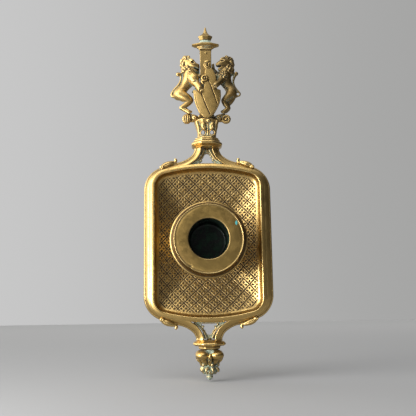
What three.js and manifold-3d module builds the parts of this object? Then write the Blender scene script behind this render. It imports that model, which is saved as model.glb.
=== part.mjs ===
// Gothic-revival cast brass wall sconce: a moulded frame round a dished tray, a candle socket
// with a lift-out nozzle in the middle, an armorial crest above and a turned drop below.
// Millimetres, +Z up, +X right. The wall is the plane Y = 0 and the front faces -Y, so a
// height off the wall is a negative Y. The origin is on the wall, behind the candle socket.
import * as THREE from 'three';
import { mergeVertices } from 'three/addons/utils/BufferGeometryUtils.js';
import Module from 'manifold-3d';

const wasm = await Module();
wasm.setup();

// ---------------------------------------------------------------- driving dimensions
const GAP = 0.3; // between touching pieces

const OPENING = { halfX: 29.8, halfZ: 42, endRadius: 96, cornerRadius: 7.5 };
const OUTLINE = { halfX: 36.3, halfZ: 48.2, endRadius: 74.7, cornerRadius: 14 };
const RIB_WIDTH = 4.2;
const RIM_BACK = 10.9; // height of the rim's back off the wall
const RIM_SEAT = 13.9; // underside of the inner moulding, where the pan is soldered
const RIM_FACE = 17.5; // top of the inner bead
const RIB_FACE = 18.4; // top of the big outer moulding
const RIB_END_Z = 54; // where the ogee ribs meet the collars

const PAN_FLOOR = 5.7; // front face of the pan at its centre
const PAN_SHEET = 1.1;
const PAN_FLAT = 0.35; // share of the pan that is flat
const PAN_POWER = 1.6;
const COVE_INSET = 2; // the cove of the rim covers this much of the opening
const PAN_INSET = 1.6; // the pan's bowl ends this far inside the opening
const PAN_FLANGE = 0.4; // the pan's flange reaches this far behind the rim

const TRACERY_BACK = 11.6;
const TRACERY_FACE = 15.4;

const SPINE = 13.4; // height of the crest's and the drop's axis off the wall

const BORE_RADIUS = 11; // takes a 22 mm candle
const SLEEVE_WALL = 1;
const NOZZLE_BOTTOM = 12.6;
const NOZZLE_SEAT = 24.5;
const NOZZLE_LIP = 31.5;
const FLANGE_RADIUS = 21.4;
const LIP_RADIUS = 18.9;
const STUD_RADIUS = 2.3;
const STUD_BORE = STUD_RADIUS + GAP;
const FOOT_RADIUS = 15;

const COLLAR_HALF = 8.9;
const CAPITAL_TOP_Z = 70.6;
const POST_HALF = 3.3;
const POST_BOTTOM_Z = 72.2;
const POST_TOP_Z = 115.6;
const ROOF_TOP_Z = 121.7;
const TOP_Z = 130.5;
const BULB_BOTTOM_Z = -68;
const LEAVES_BOTTOM_Z = -72.6;
const BOTTOM_Z = -75.9;

const SHIELD_FACE = 21.2;
const SHIELD_BULGE = 2.2;
const SHIELD_THICKNESS = 1.7;
const SHIELD_CENTRE_X = 0.8;
const SHIELD_HALF_X = 8;
const THROUGH = { low: 5, high: 30 }; // heights of a tool that passes right through the crest

const LION_DEPTH = 14.2; // height of the lions' middle plane off the wall
const PAW_DEPTH = 21.6;

const OCTAGON = 8;
const FLAT_PHASE = Math.PI / OCTAGON; // turns an octagon so that a flat faces front
const octagonRadius = (halfWidth) => halfWidth / Math.cos(FLAT_PHASE);

// ---------------------------------------------------------------- solids and booleans
const OLD_BRASS = 0x96784a;
const DARK_BRASS = 0x6e5430;
const BRIGHT_BRASS = 0xb08d52;

function brass(color, roughness = 0.42) {
  return new THREE.MeshStandardMaterial({ color, roughness, metalness: 1 });
}

function signedVolume(positions, triangles) {
  const a = new THREE.Vector3();
  const b = new THREE.Vector3();
  const c = new THREE.Vector3();
  let total = 0;
  for (let i = 0; i < triangles.length; i += 3) {
    a.fromArray(positions, 3 * triangles[i]);
    b.fromArray(positions, 3 * triangles[i + 1]);
    c.fromArray(positions, 3 * triangles[i + 2]);
    total += a.dot(b.cross(c)) / 6;
  }
  return total;
}

// A closed geometry as a solid, turned right side out.
function solid(geometry) {
  const bare = geometry.clone();
  bare.deleteAttribute('normal');
  bare.deleteAttribute('uv');
  const merged = mergeVertices(bare, 1e-4);
  const vertProperties = new Float32Array(merged.attributes.position.array);
  const triVerts = new Uint32Array(merged.index.array);
  if (signedVolume(vertProperties, triVerts) < 0) {
    for (let i = 0; i < triVerts.length; i += 3) {
      [triVerts[i], triVerts[i + 1]] = [triVerts[i + 1], triVerts[i]];
    }
  }
  return new wasm.Manifold(new wasm.Mesh({ numProp: 3, vertProperties, triVerts }));
}

const join = (pieces) => pieces.reduce((whole, piece) => whole.add(piece));
const cut = (piece, tools) => tools.reduce((whole, tool) => whole.subtract(tool), piece);

// The solid and six copies moved by the gap: what a neighbour must stay out of.
function clearance(piece, gap = GAP) {
  const steps = [[gap, 0, 0], [-gap, 0, 0], [0, gap, 0], [0, -gap, 0], [0, 0, gap], [0, 0, -gap]];
  return join([piece, ...steps.map((step) => piece.translate(step))]);
}

function geometryOf(piece) {
  const mesh = piece.getMesh();
  const geometry = new THREE.BufferGeometry();
  geometry.setAttribute('position', new THREE.BufferAttribute(mesh.vertProperties, 3));
  geometry.setIndex(new THREE.BufferAttribute(mesh.triVerts, 1));
  geometry.computeVertexNormals();
  return geometry;
}

// ---------------------------------------------------------------- shape helpers
const TURN = 2 * Math.PI;
const points2 = (pairs) => pairs.map(([x, y]) => new THREE.Vector2(x, y));

// Profile of [radius, height off the wall] pairs, turned about the line X = Z = 0 (along Y).
function turnedOnY(profile, segments) {
  return solid(new THREE.LatheGeometry(points2(profile.map(([r, h]) => [r, -h])), segments));
}

// A flat ring about the same line, between two heights off the wall.
function ring(innerRadius, outerRadius, low, high, segments) {
  return turnedOnY([
    [innerRadius, low], [outerRadius, low], [outerRadius, high], [innerRadius, high],
    [innerRadius, low],
  ], segments);
}

// Profile of [radius, z] pairs turned about the vertical axis at the given X and depth.
function turnedOnZ(profile, segments, { x = 0, depth = SPINE, phase = 0 } = {}) {
  const geometry = new THREE.LatheGeometry(points2(profile), segments, phase);
  geometry.rotateX(Math.PI / 2);
  geometry.translate(x, -depth, 0);
  return solid(geometry);
}

const octagonal = (profile) =>
  turnedOnZ(profile.map(([half, z]) => [octagonRadius(half), z]), OCTAGON, { phase: FLAT_PHASE });

const squared = (profile) =>
  turnedOnZ(profile.map(([half, z]) => [half * Math.SQRT2, z]), 4, { phase: Math.PI / 4 });

// As turnedOnZ, with the radius scaled by a function of the angle, for lobes.
function lobed(profile, segments, scaleAt, { x = 0, z = 0, depth = SPINE } = {}) {
  const geometry = new THREE.LatheGeometry(points2(profile), segments);
  geometry.rotateX(Math.PI / 2);
  const position = geometry.attributes.position;
  for (let i = 0; i < position.count; i += 1) {
    const scale = scaleAt(Math.atan2(position.getY(i), position.getX(i)));
    position.setXY(i, position.getX(i) * scale, position.getY(i) * scale);
  }
  geometry.translate(x, -depth, z);
  return solid(geometry);
}

// A flat outline of [x, z] pairs, between two heights off the wall.
function plate(outline, low, high) {
  const shape = new THREE.Shape(points2(outline));
  const geometry = new THREE.ExtrudeGeometry(shape, { depth: high - low, bevelEnabled: false });
  geometry.rotateX(Math.PI / 2);
  geometry.translate(0, -low, 0);
  return solid(geometry);
}

// A ball-ended tapered rod between two spots, each { x, z, h, r }.
function taperedRod(from, to, sides = 8) {
  const start = new THREE.Vector3(from.x, -from.h, from.z);
  const along = new THREE.Vector3(to.x, -to.h, to.z).sub(start);
  const length = along.length();
  const lean = Math.asin(THREE.MathUtils.clamp((from.r - to.r) / length, -0.95, 0.95));
  const profile = [[0, -from.r]];
  const steps = 2;
  for (let i = 1; i <= steps; i += 1) {
    const angle = -Math.PI / 2 + ((Math.PI / 2 + lean) * i) / steps;
    profile.push([from.r * Math.cos(angle), from.r * Math.sin(angle)]);
  }
  for (let i = 0; i < steps; i += 1) {
    const angle = lean + ((Math.PI / 2 - lean) * i) / steps;
    profile.push([to.r * Math.cos(angle), length + to.r * Math.sin(angle)]);
  }
  profile.push([0, length + to.r]);
  const geometry = new THREE.LatheGeometry(points2(profile), sides);
  const turn = new THREE.Quaternion();
  turn.setFromUnitVectors(new THREE.Vector3(0, 1, 0), along.normalize());
  geometry.applyQuaternion(turn);
  geometry.translate(start.x, start.y, start.z);
  return solid(geometry);
}

// A limb through several spots, each [x, z, h, r].
function limb(spots, sides) {
  const named = spots.map(([x, z, h, r]) => ({ x, z, h, r }));
  return join(named.slice(1).map((spot, i) => taperedRod(named[i], spot, sides)));
}

function ball(x, z, h, r, detail = 1) {
  const geometry = new THREE.IcosahedronGeometry(r, detail);
  geometry.translate(x, -h, z);
  return solid(geometry);
}

// ---------------------------------------------------------------- the tray's outline
// One quarter of the outline, from the middle of the upper end to the middle of the side.
function quarter({ halfX, halfZ, endRadius, cornerRadius }, endSteps, cornerSteps) {
  const endCentre = halfZ - endRadius;
  const cornerX = halfX - cornerRadius;
  const reach = endRadius - cornerRadius;
  const cornerZ = endCentre + Math.sqrt(reach * reach - cornerX * cornerX);
  const meet = Math.asin(cornerX / reach);
  const spots = [];
  for (let i = 0; i < endSteps; i += 1) {
    const angle = (meet * i) / endSteps;
    spots.push([endRadius * Math.sin(angle), endCentre + endRadius * Math.cos(angle)]);
  }
  for (let i = 0; i <= cornerSteps; i += 1) {
    const angle = meet + ((Math.PI / 2 - meet) * i) / cornerSteps;
    const x = cornerX + cornerRadius * Math.sin(angle);
    spots.push([x, cornerZ + cornerRadius * Math.cos(angle)]);
  }
  return spots;
}

const grown = (outline, by) => ({
  halfX: outline.halfX + by,
  halfZ: outline.halfZ + by,
  endRadius: outline.endRadius + by,
  cornerRadius: outline.cornerRadius + by,
});

// The whole outline, clockwise from the middle of the upper end.
function loop(outline, endSteps, cornerSteps) {
  const first = quarter(outline, endSteps, cornerSteps);
  const down = first.map(([x, z]) => [x, -z]).reverse();
  const right = [...first, ...down];
  right.pop();
  const left = right.map(([x, z]) => [-x, -z]);
  return [...right, [0, -outline.halfZ], ...left.slice(1)];
}

// Joins rings of equal point counts into a closed skin. Rings are lists of [x, z, h].
function skin(rings, { ringsClose, capped }) {
  const size = rings[0].length;
  const positions = rings.flat().flatMap(([x, z, h]) => [x, -h, z]);
  const index = [];
  const last = ringsClose ? rings.length : rings.length - 1;
  for (let i = 0; i < last; i += 1) {
    const near = i * size;
    const far = ((i + 1) % rings.length) * size;
    for (let j = 0; j < size; j += 1) {
      const k = (j + 1) % size;
      index.push(near + j, far + j, near + k, near + k, far + j, far + k);
    }
  }
  if (capped) {
    const contour = points2(capped);
    const turned = THREE.ShapeUtils.isClockWise(contour);
    const end = (rings.length - 1) * size;
    THREE.ShapeUtils.triangulateShape(contour, []).forEach((face) => {
      const [a, b, c] = turned ? [...face].reverse() : face;
      index.push(a, b, c, end + a, end + c, end + b);
    });
  }
  const geometry = new THREE.BufferGeometry();
  geometry.setAttribute('position', new THREE.Float32BufferAttribute(positions, 3));
  geometry.setIndex(index);
  return solid(geometry);
}

// ---------------------------------------------------------------- frame
// Section of the inner moulding: [distance outside the opening, height].
const INNER_MOULDING = [
  [-COVE_INSET, RIM_SEAT + 0.1], [-1.2, 14.8], [-0.45, 16], [0, 16.9],
  [0.5, 17.15], [1.3, RIM_FACE], [2.1, 17], [2.75, 16.1], [2.75, RIM_SEAT], [-1.7, RIM_SEAT],
];

// Section of the rib: [distance outside its middle line, height].
const RIB_SECTION = [
  [-2.1, RIM_BACK], [-2.1, 15.6], [-1.6, 17.6], [-0.5, RIB_FACE], [0.6, 17.6],
  [1.05, 15.5], [1.5, 16], [2.1, 15.2], [2.1, 12], [1.7, RIM_BACK],
];

// The ogee from the collar down to where the rib runs along the tray's shoulder.
const OGEE = [[5.2, RIB_END_Z], [5.4, 52.2], [7.1, 49.3], [9.9, 46.9], [13.4, 45.2]];
const OGEE_STEPS = 9;
const SHOULDER_X = 16.5;
const MOULDING_STEPS = 5;
const SHOULDER_STEPS = { end: 4, corner: 6 };

function innerMoulding() {
  const rings = INNER_MOULDING.map(([out, height]) =>
    loop(grown(OPENING, out), MOULDING_STEPS, MOULDING_STEPS).map(([x, z]) => [x, z, height]));
  return skin(rings, { ringsClose: true });
}

function ribPath() {
  const middle = grown(OUTLINE, -RIB_WIDTH / 2);
  const { end, corner } = SHOULDER_STEPS;
  const shoulder = quarter(middle, end, corner).filter(([x]) => x > SHOULDER_X);
  const ogee = new THREE.SplineCurve(points2([...OGEE, shoulder[0]])).getPoints(OGEE_STEPS);
  const upper = [...ogee.slice(0, -1).map(({ x, y }) => [x, y]), ...shoulder];
  return [...upper, ...upper.map(([x, z]) => [x, -z]).reverse()];
}

function rib(side) {
  const path = ribPath();
  const rings = path.map(([x, z], i) => {
    const before = path[Math.max(i - 1, 0)];
    const after = path[Math.min(i + 1, path.length - 1)];
    const along = new THREE.Vector2(after[0] - before[0], after[1] - before[1]).normalize();
    return RIB_SECTION.map(([out, height]) =>
      [side * (x - along.y * out), z + along.x * out, height]);
  });
  return skin(rings, { ringsClose: false, capped: RIB_SECTION });
}

const rimFrame = join([innerMoulding(), rib(1), rib(-1)]);

// ---------------------------------------------------------------- pan
const PAN_STEPS = 4;
const PAN_SHARES = [0.1, 0.34, 0.5, 0.64, 0.76, 0.88, 1]; // where its rings lie, centre to edge
const PAN_HUB_RADIUS = 5;
const PAN_LIP = RIM_SEAT - GAP;

const panHeight = (share) => {
  const climb = Math.max(0, (share - PAN_FLAT) / (1 - PAN_FLAT)) ** PAN_POWER;
  return PAN_FLOOR + (PAN_LIP - PAN_FLOOR) * climb;
};

function pan() {
  const edge = loop(grown(OPENING, -PAN_INSET), PAN_STEPS, PAN_STEPS);
  const flange = loop(grown(OPENING, PAN_FLANGE), PAN_STEPS, PAN_STEPS);
  const ringAt = (share, height) => edge.map(([x, z]) => [x * share, z * share, height]);
  const front = PAN_SHARES.map((share) => ringAt(share, panHeight(share)));
  const back = PAN_SHARES.map((share) => ringAt(share, panHeight(share) - PAN_SHEET));
  const lip = [PAN_LIP, PAN_LIP - PAN_SHEET].map((height) => flange.map(([x, z]) => [x, z, height]));
  const bowl = skin([...front, ...lip, ...back.reverse()], { ringsClose: true });
  return bowl.add(ring(STUD_BORE, PAN_HUB_RADIUS, PAN_FLOOR - PAN_SHEET, PAN_FLOOR, 16));
}

// ---------------------------------------------------------------- candle socket
const SLEEVE_RADIUS = BORE_RADIUS + SLEEVE_WALL;
const SOCKET_FLOOR = 11;
const SOCKET_TOP = NOZZLE_SEAT - GAP;

function candleSocket() {
  const inner = SLEEVE_RADIUS + GAP;
  const foot = PAN_FLOOR + GAP;
  return turnedOnY([
    [STUD_BORE, foot], [9.3, foot], [9.3, 7], [8.2, 7.8], [8.6, 8.9], [11.4, 10],
    [13.3, 12.8], [13.3, 22.6], [14, 23.2], [14, SOCKET_TOP], [inner, SOCKET_TOP], [inner, 12.2],
    [inner - 1.3, SOCKET_FLOOR], [STUD_BORE, SOCKET_FLOOR], [STUD_BORE, foot],
  ], 28);
}

const BORE_FLOOR = NOZZLE_BOTTOM + 1;

function nozzle() {
  return turnedOnY([
    [0, NOZZLE_BOTTOM], [10.6, NOZZLE_BOTTOM], [SLEEVE_RADIUS, BORE_FLOOR],
    [SLEEVE_RADIUS, NOZZLE_SEAT], [20.6, NOZZLE_SEAT], [FLANGE_RADIUS, 25.4], [20.7, 26.4],
    [20, 26.8], [19.4, 30.2], [LIP_RADIUS, NOZZLE_LIP], [18, 30.7], [16.4, 29.5], [12.6, 29.2],
    [11.8, 29.9], [BORE_RADIUS, 29.5], [BORE_RADIUS, 15], [9, BORE_FLOOR], [0, BORE_FLOOR],
  ], 36);
}

const NUT_TOP = 3.4;
const NUT_BOTTOM = 1.6;
const NUT_BORE = STUD_BORE / Math.cos(Math.PI / 6);
const NUT_CORNERS = 4.6;
const WASHER = { radius: 6, low: 3.7, high: 4.3 };
const SCREW_HEAD = { radius: 4.2, low: SOCKET_FLOOR + GAP, high: 12 };
const SCREW_END = 1.3;

function socketScrew() {
  const { radius, low, high } = SCREW_HEAD;
  return turnedOnY([
    [0, SCREW_END], [STUD_RADIUS, SCREW_END], [STUD_RADIUS, low], [radius, low], [radius, high],
    [0, high],
  ], 14);
}

function footCap() {
  const wall = 1;
  const floor = 1;
  const top = PAN_FLOOR - PAN_SHEET - GAP;
  return turnedOnY([
    [0, 0], [FOOT_RADIUS - 0.5, 0], [FOOT_RADIUS, 0.5], [FOOT_RADIUS, top],
    [FOOT_RADIUS - wall, top], [FOOT_RADIUS - wall, floor], [0, floor],
  ], 32);
}

// ---------------------------------------------------------------- tracery between the ribs
// The pierced panel that fills the triangle between the two ribs and the tray's end.
const TRACERY_OUTLINE = [
  [-8.4, 44.3], [8.4, 44.3], [5.2, 47], [3, 50], [2.4, 53.2], [-2.4, 53.2], [-3, 50], [-5.2, 47],
];
const TRACERY_GAP = [
  [-3.3, 45.3], [3.3, 45.3], [2.4, 46.6], [2.5, 47.6], [1.6, 48.3], [1.3, 50],
  [0.5, 50.6], [-0.5, 50.6], [-1.3, 50], [-1.6, 48.3], [-2.5, 47.6], [-2.4, 46.6],
];

function tracery(end) {
  const turned = (outline) => outline.map(([x, z]) => [x * end, z * end]);
  const panel = plate(turned(TRACERY_OUTLINE), TRACERY_BACK, TRACERY_FACE);
  const hole = plate(turned(TRACERY_GAP), THROUGH.low, THROUGH.high);
  return cut(panel, [hole, clearance(rimFrame)]);
}

// ---------------------------------------------------------------- leaf scrolls on the shoulders
const LEAF_DEPTH = 14.4;

// Drawn on the upper right shoulder; right and up turn it to the other three.
function leafScroll(right, up) {
  const spots = [[26.4, 44.5, 1.2], [23.4, 45.8, 1.4], [18.6, 47.3, 0.8], [17.2, 49.2, 0.6]];
  const leaf = limb(spots.map(([x, z, r]) => [right * x, up * z, LEAF_DEPTH, r]), 6);
  return cut(leaf, [clearance(rimFrame)]);
}

// ---------------------------------------------------------------- crest
const COLLAR_BOTTOM_Z = RIB_END_Z + GAP;
const DOWEL_BORE = 1.6;
const DOWEL_RADIUS = 1.3;
const DOWEL_REACH = 3.6; // how far the dowels reach past the ribs' ends towards the tray
const COLLAR_HEIGHT = 6.1;

// Octagonal and square profiles are [half width across the flats, z].
function upperCollar() {
  const z = COLLAR_BOTTOM_Z;
  return octagonal([
    [DOWEL_BORE, z], [7.2, z], [8.3, z + 1], [COLLAR_HALF, z + 2], [8.2, z + 3.1],
    [7.2, z + 3.6], [7.3, z + 4.6], [6.5, z + 5], [6.6, z + 5.8], [6, z + COLLAR_HEIGHT],
    [DOWEL_BORE, z + COLLAR_HEIGHT], [DOWEL_BORE, z],
  ]);
}

const CAPITAL_Z = COLLAR_BOTTOM_Z + COLLAR_HEIGHT + GAP;
const CAPITAL_EYE = { x: 3.6, z: 63.6, halfX: 1.2, halfZ: 1.7, sides: 8 };
const CREST_DOWEL_TOP_Z = 69.6;

// An upright dowel, or the bore for one, between two heights.
const dowel = (radius, low, high) => turnedOnZ([[0, low], [radius, low], [radius, high], [0, high]], 10);

function neckCapital() {
  const bell = octagonal([
    [0, CAPITAL_Z], [5.7, CAPITAL_Z], [5.6, 63.5], [5.9, 66.5], [7, 69.4],
    [7.4, CAPITAL_TOP_Z], [0, CAPITAL_TOP_Z],
  ]);
  const { x, z, halfX, halfZ, sides } = CAPITAL_EYE;
  const outline = Array.from({ length: sides }, (_, i) => (TURN * i) / sides).map((angle) =>
    [x + halfX * Math.cos(angle), z + halfZ * Math.sin(angle)]);
  const eye = plate(outline, THROUGH.low, THROUGH.high);
  const bore = dowel(DOWEL_BORE, RIB_END_Z, CREST_DOWEL_TOP_Z + GAP);
  return cut(bell, [eye, eye.mirror([1, 0, 0]), bore]);
}

function post() {
  const z = POST_TOP_Z;
  return squared([
    [0, POST_BOTTOM_Z], [4.6, POST_BOTTOM_Z], [4.6, 74], [POST_HALF, 75.5], [POST_HALF, z - 1.6],
    [2.9, z - 1.3], [POST_HALF + 0.2, z - 0.9], [POST_HALF + 0.2, z - GAP], [0, z - GAP],
  ]);
}

// The pinnacle is wider than it is deep, its depth this share of its width.
const PINNACLE_DEPTH = 0.45;
const flattened = (solid) =>
  solid.translate([0, SPINE, 0]).scale([1, PINNACLE_DEPTH, 1]).translate([0, -SPINE, 0]);

function roof() {
  return flattened(octagonal([
    [0, POST_TOP_Z], [3.6, POST_TOP_Z], [4.6, 116.9], [5.3, 117.4], [8.2, 118.7], [7.4, 119.2],
    [4.6, 120.3], [3.3, 120.9], [3, ROOF_TOP_Z], [0, ROOF_TOP_Z],
  ]));
}

function finial() {
  return flattened(octagonal([
    [0, ROOF_TOP_Z + GAP], [3.2, 122.2], [3.4, 122.9], [4.2, 123.6], [4.2, 124.4], [3.4, 124.9],
    [1.9, 126], [1, 127.3], [0.6, 128.8], [0.3, TOP_Z], [0, TOP_Z],
  ]));
}

const PIN_Z = 112.6;

function postPin() {
  const foot = SPINE + POST_HALF + 0.2;
  const pin = turnedOnY([[0, foot], [0.9, foot], [0.9, foot + 0.5], [0, foot + 1]], 8);
  return pin.translate([0.2, 0, PIN_Z]);
}

const SHIELD_OUTLINE = [
  [1.2, 71], [2.4, 71.8], [4.4, 73.9], [6.3, 77.2], [7.7, 80.6], [8.5, 84.4], [8.4, 88.2],
  [4.9, 88.6], [4.9, 91.3], [5.9, 96], [5.7, 98.9], [2.3, 102.1], [2.3, 106.6], [-0.6, 106.6],
  [-0.7, 99.6], [-1.9, 98.6], [-2.1, 96.6], [-0.9, 95.6], [-1.7, 89.4], [-3.2, 86.6],
  [-5, 87.4], [-7.4, 88.9], [-7.3, 84.7], [-6.6, 80.1], [-5, 75.8], [-3, 72.5], [-1.4, 71],
];

const SHIELD_STEPS = 10;
const SHEET_SPAN = { left: -9, right: 10, bottom: 60, top: 112 };

// The bowed sheet that the shield is cut from.
function bowedSheet() {
  const { left, right, bottom, top } = SHEET_SPAN;
  const faceAt = (x) => SHIELD_FACE - SHIELD_BULGE * ((x - SHIELD_CENTRE_X) / SHIELD_HALF_X) ** 2;
  const xs = Array.from({ length: SHIELD_STEPS + 1 }, (_, i) =>
    THREE.MathUtils.lerp(left, right, i / SHIELD_STEPS));
  const front = xs.map((x) => [x, faceAt(x)]);
  const back = xs.map((x) => [x, faceAt(x) - SHIELD_THICKNESS]).reverse();
  const section = [...front, ...back];
  const rings = [bottom, top].map((z) => section.map(([x, h]) => [x, z, h]));
  return skin(rings, { ringsClose: false, capped: section });
}

const shield = () => plate(SHIELD_OUTLINE, THROUGH.low, THROUGH.high).intersect(bowedSheet());

// Limbs are lists of [x, z, height off the wall, radius].
const L = LION_DEPTH;
const P = PAW_DEPTH;

function lionLeftBody() {
  return join([
    limb([[-9.8, 106.4, L, 4], [-9.2, 98.6, L, 4.2], [-12.8, 92.6, L, 3], [-16, 87.9, L, 3.3]], 8),
    limb([[-8.8, 105.8, L, 2.6], [-5.8, 104.9, L, 1.6]], 7),
    ball(-11.6, 108.2, L, 3.7),
    ball(-12, 102.8, L, 3.7),
    limb([[-15.6, 87.3, L, 3.1], [-9.9, 85.2, L, 1.9], [-12.4, 80.6, L, 1.4], [-9.4, 76.5, L, 1.1]], 7),
    limb([[-12.4, 80.4, L, 1.1], [-15.3, 79.6, L, 0.8]], 6),
    limb([[-8.6, 97.6, L, 2.7], [-6.4, 94.6, 17.6, 1.8], [-3.6, 91.6, P, 1.6]], 7),
    limb([[-18.4, 86.6, L, 0.9], [-19, 90.2, L, 0.7], [-15.2, 97.6, L, 0.7], [-16, 100, L, 1.1]], 5),
  ]);
}

function lionRightBody() {
  return join([
    limb([[12.2, 106.8, L, 4], [11, 98.2, L, 4.2], [13.5, 92.4, L, 3], [14.6, 87.7, L, 3.3]], 8),
    limb([[10.4, 107.4, L, 2.6], [7.7, 105.9, L, 1.7]], 7),
    ball(13.6, 107.6, L, 3.5),
    ball(14.2, 102.8, L, 3.6),
    limb([[14.3, 87, L, 3], [10.7, 83, L, 1.8], [11.7, 79.6, L, 1.3], [9.7, 76.4, L, 1.1]], 7),
    limb([[15.2, 85, L, 2], [15.4, 80, L, 1.2], [13.2, 77.3, L, 1]], 6),
    limb([[10.4, 97, L, 2.7], [7.8, 93.8, 17.6, 1.7], [5, 91.6, P, 1.6]], 7),
    limb([[17, 86.4, L, 0.8], [18.9, 84.9, L, 0.7], [19.9, 87.4, L, 0.7], [18.2, 90.4, L, 0.7],
      [17.8, 99.4, L, 1]], 5),
  ]);
}

// Buds and the bar that the lions' feet rest on, growing out of the capital's edge.
function buds(side) {
  const gadroon = (angle) => 1 - 0.1 * Math.abs(Math.sin(4 * angle));
  const profile = [[0, -2.4], [1.5, -1.9], [2.4, 0], [1.6, 1.7], [0, 2.3]];
  const big = lobed(profile, 16, gadroon, { x: side * 11.6, z: 72.6, depth: L });
  const stem = [[7.2, 72.9, L, 1.5], [9, 72.3, L, 0.9], [11.6, 72.3, L, 0.9]];
  const bar = [[7.2, 73.2, L, 0.8], [8.6, 74.2, L, 0.7]];
  const arms = [stem, bar].map((spots) => limb(spots.map(([x, ...rest]) => [side * x, ...rest]), 6));
  return join([big, ...arms]);
}

// ---------------------------------------------------------------- drop
const LOWER_Z = -RIB_END_Z - GAP;
const LOWER_COLLAR_HEIGHT = 5;

function lowerCollar() {
  const z = LOWER_Z;
  const end = z - LOWER_COLLAR_HEIGHT;
  return octagonal([
    [DOWEL_BORE, z], [6.7, z], [8, z - 1], [COLLAR_HALF + 0.1, z - 2.1], [8, z - 3],
    [5.9, z - 3.4], [6, z - 4.6], [4.9, end], [DOWEL_BORE, end], [DOWEL_BORE, z],
  ]);
}

const BULB_Z = LOWER_Z - LOWER_COLLAR_HEIGHT - GAP;
const DROP_DOWEL_END_Z = -63.6;

// A radius that swells in four lobes, the rest of it shared by all angles.
const fourLobes = (share) => (angle) => 1 - share + share * Math.abs(Math.sin(2 * angle));

function dropBulb() {
  const bulb = lobed([
    [0, BULB_Z], [4.6, BULB_Z], [7.4, -61.4], [8.9, -63.5], [8.2, -65], [5.6, -66.6],
    [3.8, BULB_BOTTOM_Z], [0, BULB_BOTTOM_Z],
  ], 24, fourLobes(0.14));
  return bulb.subtract(dowel(DOWEL_BORE, -RIB_END_Z, DROP_DOWEL_END_Z - GAP));
}

function dropLeaves() {
  const z = BULB_BOTTOM_Z - GAP;
  return lobed([
    [0, z], [3.4, z], [5.4, -69.8], [5.5, -70.8], [3, -71.4], [2, LEAVES_BOTTOM_Z],
    [0, LEAVES_BOTTOM_Z],
  ], 24, fourLobes(0.28));
}

function dropTip() {
  const z = LEAVES_BOTTOM_Z - GAP;
  return turnedOnZ([[0, z], [1.3, z], [1.9, -73.8], [1.6, -74.9], [0.8, -75.6], [0, BOTTOM_Z]], 12);
}

// ---------------------------------------------------------------- wall hanger
const EYE = { x: 0.8, z: 83.6, inner: 3.3, outer: 5.8, back: 1.2, front: 2.6 };
const STRAP_HALF = 2.6;
const STRAP_SHEET = 1.3;
const STRAP_Z = { arm: 88.8, bend: 90.2, top: 99.4 };
const RIVETS_Z = [93, 97];
const RIVET_BORE = 1.2;
const RIVET_SHANK = 0.9;
const RIVET_END = 12;
const STRAP_FRONT = SPINE - POST_HALF - GAP; // the strap lies against the back of the post

const strap = (low, high, back) => plate(
  [[-STRAP_HALF, low], [STRAP_HALF, low], [STRAP_HALF, high], [-STRAP_HALF, high]],
  back,
  STRAP_FRONT,
);

const rivetBores = () => RIVETS_Z.map((z) =>
  turnedOnY([[0, 0], [RIVET_BORE, 0], [RIVET_BORE, RIVET_END + GAP], [0, RIVET_END + GAP]], 10)
    .translate([0, 0, z]));

function hanger() {
  const pad = strap(STRAP_Z.bend - 0.2, STRAP_Z.top, STRAP_FRONT - STRAP_SHEET);
  const arm = strap(STRAP_Z.arm, STRAP_Z.bend, EYE.back);
  const eye = ring(EYE.inner, EYE.outer, EYE.back, EYE.front, 20).translate([EYE.x, 0, EYE.z]);
  return cut(join([pad, arm, eye]), rivetBores());
}

function hangerRivet(z) {
  const head = STRAP_FRONT - STRAP_SHEET - GAP;
  return turnedOnY([
    [0, head - 0.8], [1.3, head - 0.6], [1.8, head], [RIVET_SHANK, head],
    [RIVET_SHANK, RIVET_END], [0, RIVET_END],
  ], 10).translate([0, 0, z]);
}

// ---------------------------------------------------------------- assembly
const sconce = new THREE.Group();

function add(name, piece, material, parent = sconce) {
  const mesh = new THREE.Mesh(geometryOf(piece), material);
  mesh.name = name;
  parent.add(mesh);
}

const CORNERS = [
  ['upper_right', 1, 1],
  ['upper_left', -1, 1],
  ['lower_right', 1, -1],
  ['lower_left', -1, -1],
];

const shieldPiece = shield();
const postPiece = cut(post(), rivetBores());
const shieldRoom = clearance(shieldPiece);
const postRoom = clearance(postPiece);
const traceryUpper = tracery(1);
const traceryLower = tracery(-1);
const crestDowel = dowel(DOWEL_RADIUS, RIB_END_Z - DOWEL_REACH, CREST_DOWEL_TOP_Z);
const dropDowel = dowel(DOWEL_RADIUS, DOWEL_REACH - RIB_END_Z, DROP_DOWEL_END_Z);

add('rim_frame', rimFrame, brass(OLD_BRASS));
add('dish_pan', pan(), brass(OLD_BRASS, 0.5));
CORNERS.forEach(([where, right, up]) => {
  add(`leaf_scroll_${where}`, leafScroll(right, up), brass(OLD_BRASS));
});
add('tracery_upper', traceryUpper, brass(DARK_BRASS));
add('tracery_lower', traceryLower, brass(DARK_BRASS));

add('collar_upper', upperCollar(), brass(OLD_BRASS));
add('neck_capital', neckCapital(), brass(OLD_BRASS));
add('crest_stud', cut(crestDowel, [clearance(traceryUpper)]), brass(DARK_BRASS));
add('crest_post', postPiece, brass(OLD_BRASS));
add('pinnacle_roof', roof(), brass(OLD_BRASS));
add('pinnacle_finial', finial(), brass(OLD_BRASS));
add('post_pin', postPin(), brass(BRIGHT_BRASS));
add('shield', shieldPiece, brass(BRIGHT_BRASS));
add('bud_cluster_left', cut(buds(-1), [shieldRoom, postRoom]), brass(OLD_BRASS));
add('bud_cluster_right', cut(buds(1), [shieldRoom, postRoom]), brass(OLD_BRASS));
add('lion_left', lionLeftBody().subtract(shieldRoom), brass(BRIGHT_BRASS));
add('lion_right', lionRightBody().subtract(shieldRoom), brass(BRIGHT_BRASS));

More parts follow.
